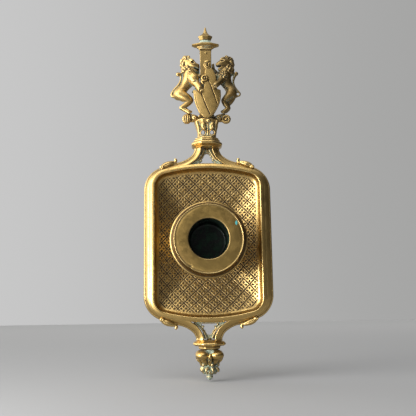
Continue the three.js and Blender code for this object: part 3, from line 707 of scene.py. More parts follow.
SHOULDER_X = 16.5


def inner_moulding():
    """The moulding round the opening that holds the tray."""
    spots, normals = distinct(*whole_loop(OPENING))
    return swept(spots, normals, INNER_SECTION, closed=True)


def rib(side):
    """The outer moulding of one side, ogee to ogee round the shoulder."""
    spots, _ = quarter(grown(OUTLINE, -RIB_HALF), end_steps=20, corner_steps=26)
    shoulder = spots[spots[:, 0] > SHOULDER_X]
    steps = 12
    ogee = through(OGEE + [tuple(shoulder[0]), tuple(shoulder[3])], steps)
    upper = np.concatenate([ogee[:steps * len(OGEE)], shoulder])
    path = np.concatenate([upper, (upper * [1, -1])[::-1][1:]])
    along = np.gradient(path, axis=0)
    along /= np.linalg.norm(along, axis=1, keepdims=True)
    normals = np.stack([-along[:, 1], along[:, 0]], axis=1)
    return swept(path * [side, 1], normals * [side, 1], RIB_SECTION, closed=False)


piece("tray_moulding", mesh_of("tray_moulding", *inner_moulding()), frame_brass,
      ["rim_frame"])
for side, hand in HANDS:
    piece(f"rib_{hand}", mesh_of(f"rib_{hand}", *rib(side)), frame_brass,
          ["rim_frame"])


# ------------------------------------------------------------------ tray
PAN_EDGE = grown(OPENING, -PAN_INSET)
PAN_FLAT, PAN_POWER = 0.35, 1.6
DIAPER = 6.95  # across a diamond
DIAPER_STEPS = 20
DIAPER_DEPTH = 0.26
DIAPER_FADE = (0.5, 1.0)  # how far from the edge the engraving starts and is whole
LINE_HALF = 0.40
LEAF_OUT, LEAF_LONG, LEAF_WIDE = 0.21 * DIAPER, 0.72, 0.46  # four leaves in each diamond
SHEET_REACH = 56  # how far from the middle the engraved grid is laid out
SLOPE_SAMPLES, EDGE_SAMPLES = 400, 12
BACK_SPOKES = 120
BACK_RINGS = (1, 0.94, 0.88, 0.8, 0.72, 0.64, 0.55, 0.45, 0.35, 0.15)


def pan_height(share):
    climb = np.clip((share - PAN_FLAT) / (1 - PAN_FLAT), 0, 1) ** PAN_POWER
    return PAN_FLOOR + (PAN_LIP - PAN_FLOOR) * climb


def unrolled(half):
    """Distances from the middle, flat and along the slope of the pan."""
    flat = np.linspace(0, half, SLOPE_SAMPLES)
    slope = np.gradient(pan_height(flat / half), flat)
    along = np.concatenate([[0], np.cumsum(np.sqrt(1 + slope[1:] ** 2) * np.diff(flat))])
    return flat, along


def folded(distance, half):
    """Where a distance along the slope of the pan comes to lie, seen from the front."""
    flat, along = unrolled(half)
    size = np.abs(distance)
    beyond = np.maximum(size - along[-1], 0)
    return np.sign(distance) * (np.interp(size, along, flat) + beyond)


def reach_at(outline):
    """How far out an outline lies at any angle, as a function."""
    spots, _ = distinct(*whole_loop(outline))
    share = np.linspace(0, 1, EDGE_SAMPLES, endpoint=False)[None, :, None]
    spots = (spots[:, None] + share * (np.roll(spots, -1, axis=0) - spots)[:, None]).reshape(-1, 2)
    angle = np.arctan2(spots[:, 1], spots[:, 0])
    order = np.argsort(angle)
    angle, radius = angle[order], np.linalg.norm(spots, axis=1)[order]
    angle = np.concatenate([angle - TURN, angle, angle + TURN])
    return lambda at: np.interp(at, angle, np.tile(radius, 3))


def diaper(x, z):
    """How deep the engraving lies at a spot of the unrolled tray, from 0 to 1."""
    u, v = (x + z) / DIAPER, (x - z) / DIAPER
    from_line = np.minimum(np.abs(u - np.round(u)), np.abs(v - np.round(v))) * DIAPER / math.sqrt(2)
    depth = np.clip(1.5 * (1 - from_line / LINE_HALF), 0, 1)
    cell_u, cell_v = np.floor(u) + 0.5, np.floor(v) + 0.5
    px, pz = x - (cell_u + cell_v) * DIAPER / 2, z - (cell_u - cell_v) * DIAPER / 2
    for dx, dz in ((1, 0), (-1, 0), (0, 1), (0, -1)):
        along = (px * dx + pz * dz) - LEAF_OUT
        across = px * dz - pz * dx
        oval = np.sqrt((along / LEAF_LONG) ** 2 + (across / LEAF_WIDE) ** 2)
        depth = np.maximum(depth, 1.25 * np.clip(1.35 - oval, 0, 1))  # flat-bottomed
    return depth


def boundary(faces):
    """The outer edge of a sheet of faces, in order."""
    seen = set()
    for k in range(faces.shape[1]):
        pairs = zip(faces[:, k].tolist(), np.roll(faces, -1, axis=1)[:, k].tolist())
        seen.update(pairs)
    ends = {a: b for a, b in seen if (b, a) not in seen}
    start = next(iter(ends))
    loop = [start]
    while ends[loop[-1]] != start:
        loop.append(ends[loop[-1]])
    return np.array(loop)


def zipped(upper, lower, spots):
    """Triangles between two loops that run once round the middle."""
    def in_order(loop):
        angle = np.arctan2(spots[loop, 1], spots[loop, 0])
        if np.sum(np.diff(np.unwrap(angle))) < 0:
            loop, angle = loop[::-1], angle[::-1]
        first = int(np.argmin(angle))
        loop, angle = np.roll(loop, -first), np.roll(angle, -first)
        angle = np.maximum.accumulate(np.unwrap(angle))
        return np.append(loop, loop[0]), np.append(angle, angle[0] + TURN)
    a, angle_a = in_order(upper)
    b, angle_b = in_order(lower)
    i = j = 0
    faces = []
    while i < len(a) - 1 or j < len(b) - 1:
        take_a = j == len(b) - 1 or (i < len(a) - 1 and angle_a[i + 1] <= angle_b[j + 1])
        if take_a:
            faces.append((a[i + 1], a[i], b[j]))
            i += 1
        else:
            faces.append((a[i], b[j], b[j + 1]))
            j += 1
    return np.array(faces)


def tray():
    """The engraved sheet on a grid along the diamonds, then its plain back and its edge."""
    step = DIAPER / math.sqrt(2) / DIAPER_STEPS
    count = int(SHEET_REACH / step)
    u, v = np.meshgrid(np.arange(-count, count + 1), np.arange(-count, count + 1), indexing="ij")
    flat_x, flat_z = (u + v) * step / math.sqrt(2), (u - v) * step / math.sqrt(2)
    x = folded(flat_x, PAN_EDGE[0])
    z = folded(flat_z, PAN_EDGE[1])
    edge, flange = reach_at(PAN_EDGE), reach_at(grown(OPENING, 0.4))
    angle, radius = np.arctan2(z, x), np.hypot(x, z)
    share = radius / edge(angle)
    inside = radius < flange(angle)
    kept = inside[:-1, :-1] & inside[1:, :-1] & inside[1:, 1:] & inside[:-1, 1:]
    quads = grid_faces(*u.shape, wrap_columns=False)[kept.ravel()]
    border = (1 - share) * edge(angle)
    carved = diaper(flat_x, flat_z) * ramp(border, *DIAPER_FADE)
    height = pan_height(share) - DIAPER_DEPTH * np.minimum(carved, 1)
    spots = np.stack([x, z, height], axis=-1).reshape(-1, 3)
    used, (quads,) = compact([quads])
    spots, carved = spots[used], carved.ravel()[used]
    loop = boundary(quads)
    around = np.arctan2(spots[loop, 1], spots[loop, 0])
    spots[loop, 0] = flange(around) * np.cos(around)
    spots[loop, 1] = flange(around) * np.sin(around)
    spots[loop, 2] = PAN_LIP

    # The plain back: rings of spots that close on one in the middle.
    spoke = np.arange(BACK_SPOKES)
    angles = spoke * TURN / BACK_SPOKES
    sizes = [(flange(angles), PAN_LIP)] + [(part * edge(angles), pan_height(part))
                                           for part in BACK_RINGS]
    rings = [np.stack([radius * np.cos(angles), radius * np.sin(angles),
                       np.full(BACK_SPOKES, level - PAN_SHEET)], axis=1) for radius, level in sizes]
    start = len(spots)
    back = grid_faces(len(rings), BACK_SPOKES) + start
    spots = np.concatenate([spots] + rings + [np.array([[0, 0, PAN_FLOOR - PAN_SHEET]])])
    last = start + (len(rings) - 1) * BACK_SPOKES
    hub = np.stack([last + spoke, last + (spoke + 1) % BACK_SPOKES,
                    np.full(BACK_SPOKES, len(spots) - 1)], axis=1)
    side = zipped(loop, start + spoke, spots)
    recess = np.zeros(len(spots))
    recess[:start] = np.clip(1.3 * carved, 0, 1)
    return spots, [quads, back, hub, side], recess


def consistent(name, spots, faces, recess):
    """The mesh with every face turned the same way out."""
    mesh = mesh_of(name, spots, faces, recess=recess)
    work = bmesh.new()
    work.from_mesh(mesh)
    bmesh.ops.recalc_face_normals(work, faces=work.faces)
    work.to_mesh(mesh)
    work.free()
    return mesh


piece("engraved_tray", consistent("engraved_tray", *tray()), tray_brass,
      ["dish_pan"])


# ------------------------------------------------------------------ turned parts
def turned_piece(node, profile, material, slot, closed=False, **how):
    name = f"{node}_turned"
    shape = turned(soften(profile, 0.25, closed=closed), closed=closed, **how)
    piece(name, mesh_of(name, *shape, rounds=2), material, [node])


def square(angles):
    """How far the side of a square of half width 1 lies from its middle, in each direction."""
    return 1 / np.maximum(np.abs(np.cos(angles)), np.abs(np.sin(angles)))


def faceted(word, profile, material, node=None, radius=0.2, plan=octagon, depth=1):
    """An upright moulding with flat sides; depth is its share of the width."""
    name = f"{word}_turned"
    spots, faces = turned(soften(profile, radius), segments=128, upright=True, radial=plan)
    spots[:, 2] = SPINE + depth * (spots[:, 2] - SPINE)
    made = piece(name, mesh_of(name, spots, faces, rounds=2), material, [node or word])
    flats = made.modifiers.new("flats", "WEIGHTED_NORMAL")
    flats.weight = 90


faceted("collar_upper", [
    (0, 54.3), (6.9, 54.3), (7.4, 54.9, 0.5), (8.3, 55.3, 0.4), (8.9, 56, 0.5),
    (8.85, 57.1, 0.5), (8, 57.6, 0.15), (7.4, 57.75, 0.1), (7.5, 58, 0.1), (7.65, 58.7, 0.3),
    (6.9, 59.05, 0.1), (6.75, 59.2, 0.1), (6.95, 59.5, 0.15), (6.8, 60, 0.2), (6.2, 60.2, 0.1),
    (6, 60.4), (0, 60.4)], frame_brass)
faceted("post", [
    (0, 72.2), (4.6, 72.2), (4.6, 73.6, 0.3), (3.5, 74.6, 0.5), (3.3, 75.8, 0.3), (3.3, 113.5),
    (3.3, 113.9, 0.1), (2.85, 114.2, 0.1), (2.85, 114.45, 0.1), (3.5, 114.7, 0.1), (3.5, 115.3),
    (0, 115.3)], post_brass, node="crest_post", radius=0.12, plan=square)
faceted("pinnacle_roof", [
    (0, 115.6), (3.6, 115.6), (3.75, 116.1, 0.2), (4.5, 116.8, 0.5), (5, 117.05, 0.1),
    (5.3, 117.5, 0.2), (6.9, 118, 0.3), (8.2, 118.65, 0.08), (8, 118.95, 0.08),
    (6, 119.35, 0.9), (4.5, 120, 0.9), (3.4, 120.8, 0.5), (3, 121.5, 0.3), (3, 121.7),
    (0, 121.7)], roof_brass, radius=0.12, depth=0.45)
faceted("pinnacle_finial", [
    (0, 122), (3.3, 122), (3.5, 122.4, 0.2), (3.65, 123, 0.3), (4.1, 123.6, 0.12),
    (4.25, 124.2, 0.1), (3.5, 124.7, 0.3), (2.7, 125.2, 0.4), (1.9, 125.9, 0.6), (1.2, 126.8, 0.6),
    (0.85, 127.8, 0.5), (0.6, 129, 0.5), (0.35, 130.2, 0.2), (0, 130.5)], post_brass,
    radius=0.15, depth=0.45)
faceted("collar_lower", [
    (0, -54.3), (6.5, -54.3), (6.9, -54.6, 0.2), (8.2, -55.1, 0.5), (9, -55.9, 0.4),
    (9, -56.6, 0.4), (8.1, -57.2, 0.3), (6.2, -57.6, 0.15), (5.8, -57.8, 0.1), (6, -58.3, 0.3),
    (5.9, -58.8, 0.2), (5.1, -59.1, 0.1), (4.9, -59.3), (0, -59.3)], frame_brass)

RIVETS = (93, 97)
turned_piece("candle_socket", [
    (2.6, 6), (9.3, 6, 0.2), (9.3, 7, 0.3), (8.2, 7.8, 0.4), (8.6, 8.9, 0.5), (11.4, 10, 1),
    (13.3, 12.8, 1.2), (13.3, 21.6, 0.3), (13.6, 22, 0.1), (13.3, 22.4, 0.1), (13.5, 22.9, 0.2),
    (14, 23.2, 0.2), (14, 24.2, 0.2), (12.3, 24.2, 0.1), (12.3, 12.2, 0.6), (11, 11, 0.4),
    (2.6, 11)], cup_brass, "nozzle_brass", closed=True, segments=128)
turned_piece("foot_cap", [
    (0, 0), (14.4, 0, 0.2), (15, 0.6, 0.4), (15, 3.4, 0.3), (14.8, 4.3, 0.2), (14, 4.3, 0.2),
    (14, 1.6, 0.5), (13, 1, 0.5), (0, 1)], dull_brass, "hidden_brass")
turned_piece("socket_washer", [
    (2.6, 3.7), (6, 3.7, 0.15), (6, 4.3, 0.15), (2.6, 4.3)], dull_brass, "hidden_brass",
    closed=True, segments=64)
turned_piece("post_pin", [
    (0, 16.7), (0.8, 16.7), (0.8, 16.85, 0.05), (0.6, 16.98, 0.1), (0, 17)],
    post_brass, "crest_brass", x=0.2, z=112.6, segments=32)
for number, rivet_z in enumerate(RIVETS, start=1):
    turned_piece(f"hanger_rivet_{number}", [
        (0, 7.4), (0.9, 7.45, 0.3), (1.5, 7.75, 0.4), (1.8, 8.15, 0.1), (0.9, 8.2), (0.9, 12),
        (0, 12)], dull_brass, "hidden_brass", z=rivet_z, segments=32)

BORE_R, BORE_FLOOR, FACE_LIP = 11, 13.6, 30.5
FLANK_FOOT, FLANK_R = 26, (18.35, 20.75)
NOZZLE_PROFILE = [
    (0, 12.6), (10.8, 12.6, 0.3), (12, 13.6, 0.3), (12, 24.5, 0.2), (13.4, 24.5),
    (20.4, 24.5, 0.3), (21.3, 24.8, 0.3), (21.4, 25.4, 0.2), (21.1, 25.9, 0.2), (20.65, 26.1, 0.1),
    (20.4, 26.15, 0.1), (19.8, 26.9, 0.6), (19.2, 28.2, 1), (18.8, 29.6, 0.6), (18.6, 30.35, 0.1),
    (18.45, 30.5, 0.1), (18.55, 30.75, 0.1), (18.95, 30.95, 0.12), (18.95, 31.25, 0.12),
    (18.8, 31.42, 0.1), (18.5, 31.42, 0.1), (18.25, 31.22, 0.15), (17.6, 31.2, 0.4),
    (16.5, 31.26, 0.8), (14.8, 31.32, 1), (12.8, 31.3, 0.8), (11.4, 31.2, 0.2),
    (11.15, 31.05, 0.1), (11, 30.8, 0.1), (11, 29.2, 0.2), (11, 25.6, 0.1), (10.7, 25.3, 0.1),
    (10.7, 15.2, 0.8), (10, 13.75, 0.5), (9, 13.6, 0.3), (0, 13.6)]


def nozzle():
    """The loose candle nozzle: brass, a dark patina with a painted shade in its bore, and a painted
    shade of very dark brown on its flank and round the bore's edge.
    """
    spots, faces = turned(soften(NOZZLE_PROFILE, 0.25), segments=160)
    radius = np.hypot(spots[:, 0], spots[:, 1])
    angle = np.arctan2(spots[:, 1], spots[:, 0])
    # Years of knocks: the thin lip is a little out of true, with one dent at the lower left.
    lip = ramp(spots[:, 2], FACE_LIP - 0.3, FACE_LIP + 0.7) * ramp(radius, 17, 17.9)
    dent = np.exp(-((angle - math.radians(-124)) / 0.045) ** 2)
    spots[:, 2] -= lip * (0.35 * dent + 0.06 * (1 + np.sin(3 * angle + 0.8)))
    spots[:, :2] *= (1 - lip * 0.012 * dent)[:, None]
    mesh = mesh_of("nozzle_turned", spots, faces, rounds=2)
    piece("nozzle_turned", mesh, cup_brass, ["nozzle"], body="nozzle")
    mesh.materials.append(bore_patina_shade)
    mesh.materials.append(flank_shade_brass)
    centres = np.empty(3 * len(mesh.polygons))
    mesh.polygons.foreach_get("center", centres)
    x, y, z = centres.reshape(-1, 3).T / MM
    out, up = np.hypot(x, z), -y
    # The bore takes the bore patina with its painted shade; the flank and the bore's edge take the
    # painted shade.
    bore = (out < BORE_R + 0.1) & (up > BORE_FLOOR - 0.4) & (up < FACE_LIP + 0.1)
    bore_edge = (out < BORE_R + 0.35) & (up > FACE_LIP)
    flank = (out > FLANK_R[0]) & (out < FLANK_R[1]) & (up > FLANK_FOOT) & (up < FACE_LIP + 0.35)
    index = np.where(flank | bore_edge, 2, bore.astype(int))
    mesh.polygons.foreach_set("material_index", index.astype(np.int32))


nozzle()
for name in ("crest_stud", "drop_stud", "socket_screw", "socket_nut"):
    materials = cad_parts[name].data.materials
    materials.clear()
    materials.append(dull_brass)


# ------------------------------------------------------------------ cast ornaments
def tracery(end):
    """The pierced, cusped panel between the ribs, with a fillet round its opening."""
    clay = Clay([-9.5, 43.6, 10.8], [9.5, 54.2, 17], cell=0.16, up=end)
    panel = [(9, 44.3), (5.6, 47), (3.6, 50), (3.1, 53.6)]
    gap = [(4.5, 45.4), (3.9, 46.5), (2.95, 46.95), (3.3, 47.6), (2.9, 48.5), (2.1, 49.2),
           (1.75, 50.3), (1, 51.4)]
    panel += [(-x, z) for x, z in reversed(panel)]
    gap += [(0, 51.7)] + [(-x, z) for x, z in reversed(gap)]
    clay.slab(panel, 11.7, 14.9, rounding=0.25)
    # The fillet stands a little wider than the opening that is cut after it.
    fillet = [(1.12 * x, z, 15, 0.34) for x, z in gap]
    for a, b in zip(fillet[-1:] + fillet, fillet):
        clay.rod(a, b, 0.15)
    clay.slab(gap, 9, 17, soft=0.15, carve=True, rounding=0.15)
    clay.rod((-7.5, 45, 15.3, 0.38), (7.5, 45, 15.3, 0.38), 0.2)
    for side in (1, -1):
        clay.ball((side * 3.2, 47, 14.6), (0.55, 0.5, 0.7), 0.25)
        clay.limb([(side * 1.5, 53.2, 15.7, 0.4), (side * 2.9, 50.2, 15.7, 0.4),
                   (side * 5, 47.4, 15.7, 0.4), (side * 8.4, 45.1, 15.5, 0.35)], 0.2)
    return clay


def leaf_scroll(right, up):
    """A leaf lying on the shoulder: rolled at its outer end, with a hooked tip."""
    clay = Clay([15, 41, 11.5], [29, 50, 18], cell=0.16, right=right, up=up)
    clay.limb([(25.9, 42.9, 15.4, 0.8), (24.9, 43.9, 15.3, 1.3), (23, 44.7, 15.2, 1.6),
               (20.9, 45.5, 15.1, 1.25), (19.2, 46, 14.9, 0.8)], 0.35, flat=1.1)
    clay.limb([(19.6, 45.8, 14.9, 0.85), (18.5, 46, 15, 0.7), (17.9, 46.8, 15, 0.65),
               (18.2, 47.7, 15.1, 0.8)], 0.3)
    clay.ball((25.9, 43, 15.8), (1.4, 1.3, 1.4), 0.25)
    clay.dent((26, 42.9, 17.2), 0.5, 0.2)
    clay.groove([(24.4, 44, 17, 0.25), (22.2, 44.9, 17.1, 0.28), (20, 45.7, 16.5, 0.22)], 0.2)
    return clay


def capital():
    """A bell with two almond leaves over pierced eyes, a berry between them and side leaves."""
    clay = Clay([-8.4, 60.2, 4.6], [8.6, 72.4, 22.6], cell=0.18, level=SPINE)
    cuts, (x, z, h) = clay.near([-9, 60.7, 4], [9, 71.3, 23])
    half = np.interp(z, (60.7, 62, 64, 66.5, 69, 70.4, 71.3), (5.7, 5.35, 5.3, 5.7, 6.6, 7.2, 7))
    reach = np.hypot(x, h - SPINE) / octagon(np.arctan2(h - SPINE, x), 24)
    foot, top = 60.75, 70.9
    bell = np.maximum(reach - half, np.maximum(foot - z, z - top))
    clay.put(cuts, bell.astype(np.float32), 0.25)
    eyes = [(side, 0.55 + 2.55 * side) for side in (1, -1)]
    for side, eye in eyes:
        for face in (1, -1):
            clay.ball((eye - 0.1 * side, 66.6, face * 5.4), (1.65, 2.9, 1.9), 0.3, turn=-9 * side)
            if face > 0:
                clay.ring((eye, 62.6, 5.3), 1.55, 0.42, 0.15)
            clay.groove([(eye, 64.4, face * 6.8, 0.16), (eye - 0.15 * side, 66.5, face * 7.05, 0.2),
                         (eye - 0.5 * side, 68.6, face * 6.2, 0.16)], 0.15)
            clay.limb([(0.5 + 4.6 * side, 62.2, face * 4, 0.5), (0.3 + 4.9 * side, 66, face * 4.2, 0.8),
                       (0.2 + 5.7 * side, 69.6, face * 4, 1.1)], 0.4)
            clay.groove([(0.4 + 4.0 * side, 61.8, face * 6, 0.25),
                         (0.4 + 4.15 * side, 66, face * 5.8, 0.3),
                         (0.4 + 4.6 * side, 69.8, face * 6.6, 0.3)], 0.2)
    for face in (1, -1):
        clay.ball((1, 69.4, face * 6.5), (1.35, 1.3, 1.3), 0.2)
        clay.dent((1, 69.1, face * 7.8), 0.4, 0.15)
        clay.limb([(0.55, 61.6, face * 5.7, 0.45), (0.6, 64.6, face * 5.5, 0.35),
                   (0.8, 67.6, face * 5.8, 0.55)], 0.25)
        clay.groove([(0.55, 65.8, face * 6.6, 0.3), (0.6, 68, face * 6.6, 0.35)], 0.2)
    # The eyes are pierced right through, rising towards the back.
    for _, eye in eyes:
        clay.rod((eye, 61.9, 8.1, 1.2), (eye, 67, -8.4, 1.2), 0.15, carve=True)
    return clay


def bud_cluster(side):
    """A bud under a lion's feet, ribbed on the left and cupped on the right, and little leaves."""
    clay = Clay([4.6, 68.6, 10.6], [15, 77, 19.2], cell=0.15, right=side)
    big = np.array([11.5, 72.1, LION_DEPTH + 0.3])
    lean_in = np.array([0.1 * side, 0, 0])
    if side < 0:
        clay.ball(big, (2.5, 2.6, 2.5), 0.2)
        for lean in np.radians((64, 38, 12, -14, -40, -66)):
            clay.limb([(big[0] + 2.6 * math.sin(lean) * math.cos(rise), big[1] + 2.7 * math.sin(rise),
                        big[2] + 2.6 * math.cos(lean) * math.cos(rise), 0.4)
                       for rise in np.radians([-72, -40, 0, 40, 72])], 0.25, steps=2)
        clay.ball(big + lean_in + [0, 2.25, 0.6], (0.7, 0.5, 0.7), 0.2)
    else:
        clay.ring(big, 1.85, 1, 0.25)
        clay.ball(big + lean_in + [0, 0, 0.3], (1.1, 1.1, 1.2), 0.1)
        clay.ring(big + [0, 0, 1], 1.25, 0.32, 0.1, carve=True)
    clay.ball((6.9, 72.4, 15.6), (2, 1.8, 1.9), 0.3, turn=20)
    clay.dent((7.2, 72.3, 17.6), (1.1, 0.3, 0.5), 0.15, turn=30)
    clay.limb([(5.3, 73, 14.6, 0.9), (7, 74, 14.8, 0.75), (9, 74.6, 14.6, 0.65), (10.6, 75, 14.4, 0.5)],
              0.35)
    clay.limb([(5, 71.6, 14.6, 1.1), (8, 71.2, 14.4, 0.8), (10.4, 71.3, 14.2, 0.6)], 0.35)
    clay.ball((5.5, 71.2, 16), (1.3, 0.9, 0.9), 0.25, turn=-35)
    return clay


SHIELD_X, SHIELD_HALF, SHIELD_BULGE, SHIELD_FACE = 0.8, 8, 1.1, 21.2
SHIELD_SHEET = 1.7


def on_shield(x, z, up, r):
    return (x, z, SHIELD_FACE - SHIELD_BULGE * ((x - SHIELD_X) / SHIELD_HALF) ** 2 + up, r)


def shield():
    """A bowed shield with a bend, and the upright field behind it with its loop and scroll."""
    clay = Clay([-9, 69.4, 16.4], [10.2, 108.4, 24], cell=0.14)
    right = through([(8.35, 88.1), (8.5, 84.4), (7.8, 80.6), (6.4, 77.2), (4.5, 73.9),
                     (2.5, 71.7), (1.25, 70.9)], 4)
    left = through([(1.25, 70.9), (-0.9, 71), (-2.9, 72.7), (-4.9, 75.8), (-6.55, 80.1),
                    (-7.25, 84.5), (-7.5, 88.2)], 4)[1:]
    top = through([(-7.5, 88.2), (-5.6, 87.4), (-3.4, 86.9), (-1.6, 88.6), (-0.9, 92),
                   (-0.6, 95.5)], 4)[1:]
    upper = through([(-0.6, 95.5), (-0.7, 98.6), (-0.2, 101.4), (0, 104.6)], 3)[1:]
    crown = through([(1.7, 104.6), (2.6, 102.4), (4.2, 100), (5.4, 97.4), (5.9, 94.4),
                     (5.6, 91.4), (6.4, 88.6)], 3)
    clay.slab(np.concatenate([right, left, top, upper, crown]), SHIELD_FACE - SHIELD_SHEET, SHIELD_FACE,
              rounding=0.3, bow=lambda x, z: on_shield(x, z, 0, 0)[2] - SHIELD_FACE)
    # A fine line just inside both sides.
    for side in (right, left):
        inset = [on_shield(SHIELD_X + 0.90 * (x - SHIELD_X), z + 0.35, 0.2, 0.26)
                 for x, z in side[::2]]
        clay.groove(inset, 0.1, steps=3)
    # Two lines make a bend, from the scroll down to the right.
    for line in (((0.3, 96), (1.4, 93.4), (2.9, 89.8), (4, 86.5), (5.1, 83.4), (6.2, 80)),
                 ((-3.3, 87.1), (-2.4, 84.1), (-1, 80.2), (0.5, 76.6), (1.9, 73.2))):
        clay.groove([on_shield(x, z, 0, 0.34) for x, z in line], 0.08, steps=6)
    # The scroll at the head of the bend.
    clay.ball((-0.95, 94.7, 21.5), (2.1, 2.1, 0.9), 0.2)
    clay.ring((-0.95, 94.7, 21.5), 1.55, 0.55, 0.12)
    clay.ring((-0.95, 94.7, 22.2), 0.85, 0.42, 0.1, carve=True)
    clay.limb([(-2.5, 93.8, 20.9, 0.5), (-2.3, 92.4, 20.8, 0.65), (-1.3, 91.4, 20.7, 0.5)], 0.3)
    # The loop at the top, with its slot.
    loop_x = 0.85
    clay.ball((loop_x, 103, 20.9), (2.4, 2.4, 1), 0.3)
    clay.ball((loop_x, 105.2, 20.8), (1.8, 0.95, 0.9), 0.25)
    clay.ring((loop_x, 102.8, 21.7), 1.6, 0.26, 0.1, carve=True)
    clay.dent((loop_x, 103.1, 22), (0.55, 1.2, 1.1), 0.12)
    for side in (1, -1):
        clay.groove([(loop_x + 1.4 * side, 104.6, 21.3, 0.2),
                     (loop_x + 0.5 * side, 104.3, 21.8, 0.2)], 0.1)
    # Pits of an old casting.
    for x, z, r in ((2.3, 79.4, 0.3), (-2.1, 77.9, 0.22), (5.4, 86.3, 0.25), (0.4, 85.1, 0.2),
                    (3.4, 95.3, 0.25), (-4.1, 83.2, 0.2), (3.9, 77.7, 0.2)):
        clay.dent(on_shield(x, z, 0.25, r), r, 0.1)
    return clay


# A lion's side is 1 on the right, facing left, and -1 on the left.
# For each layer of a mane: rings of (degrees from the front, locks), size of a lock, its curl.
MANE = ((((30, 4), (54, 7), (78, 10), (103, 10), (130, 7)), 0.8, -1),
        (((14, 4), (42, 7), (70, 9), (98, 9), (128, 7)), 0.78, 1),
        (((14, 5), (38, 8), (62, 9)), 0.5, -1),
        (((16, 4), (44, 7), (72, 8)), 0.62, 1))


def curls(clay, centre, radii, rings, size, spin, facing=None):
    """Short hooked locks laid in rings over an ellipsoid, with a gap for a face."""
    for tilt, count in rings:
        for k in range(count):
            around = TURN * (k + 0.5 * (tilt % 2) + 0.15 * rng.random()) / count
            if facing is not None:
                aside = abs(math.remainder(around - facing, TURN))
                if aside < (0.95 if tilt < 80 else 0.6):
                    continue
            strand = []
            for step, share in enumerate((0.78, 1, 0.9, 0.62)):
                a = math.radians(tilt + 9 * step)
                b = around + spin * (0.11 * step + 0.10 * step * step / 3)
                out = np.array([math.sin(a) * math.cos(b), math.sin(a) * math.sin(b), math.cos(a)])
                spot = np.array(centre) + np.array(radii) * out * (1.0 + 0.05 * (step == 1))
                strand.append((*spot, size * share))
            clay.limb(strand, 0.16, steps=2)


def mane(clay, side, masses, layers):
    """The mass of a mane, then its locks over the crown, the neck, the chest and the breast.
    Only the crown's locks leave the face bare."""
    for spot, radii in masses:
        clay.ball(spot, radii, 0.5)
    facing = math.pi if side > 0 else 0.0
    for (centre, radii), (rings, size, curl) in zip(layers, MANE):
        curls(clay, centre, radii, rings, size, side * curl, facing)
        facing = None


def head(clay, side, skull, tall, muzzle, jaw, mouth, nose, brow, eye, ear, hollow):
    """A lion's head, from (x, z) places and a brow of whole spots."""
    clay.ball((*skull, 0.7), (3.3, tall, 3.4), 0.6)
    clay.limb([(*spot, *size) for spot, size in zip(muzzle, ((2.2, 2.4), (2.6, 1.9), (2.6, 1.4)))],
              0.45)
    clay.limb([(*spot, *size) for spot, size in zip(jaw, ((2, 1.6), (2.3, 1.15), (2.4, 0.85)))], 0.35)
    clay.dent((*mouth, 3.2), (2, 0.55, 2.2), 0.15, turn=14 * side)
    clay.ball((*nose, 2.8), (0.75, 0.6, 0.9), 0.2)
    clay.limb(brow, 0.3)
    clay.dent((*eye, 4.6), (1, 0.7, 0.9), 0.15, turn=20 * side)
    clay.ball((*ear, 3.2), (0.8, 1.1, 0.7), 0.2, turn=-15 * side)
    clay.dent((*hollow, 3.9), (0.35, 0.6, 0.4), 0.1, turn=-15 * side)


def hind_toes(clay, spots, turn):
    for k, (x, z) in enumerate(spots):
        clay.ball((x, z, 1.3 + 0.3 * k), (0.75, 0.5, 0.6), 0.15, turn=turn)


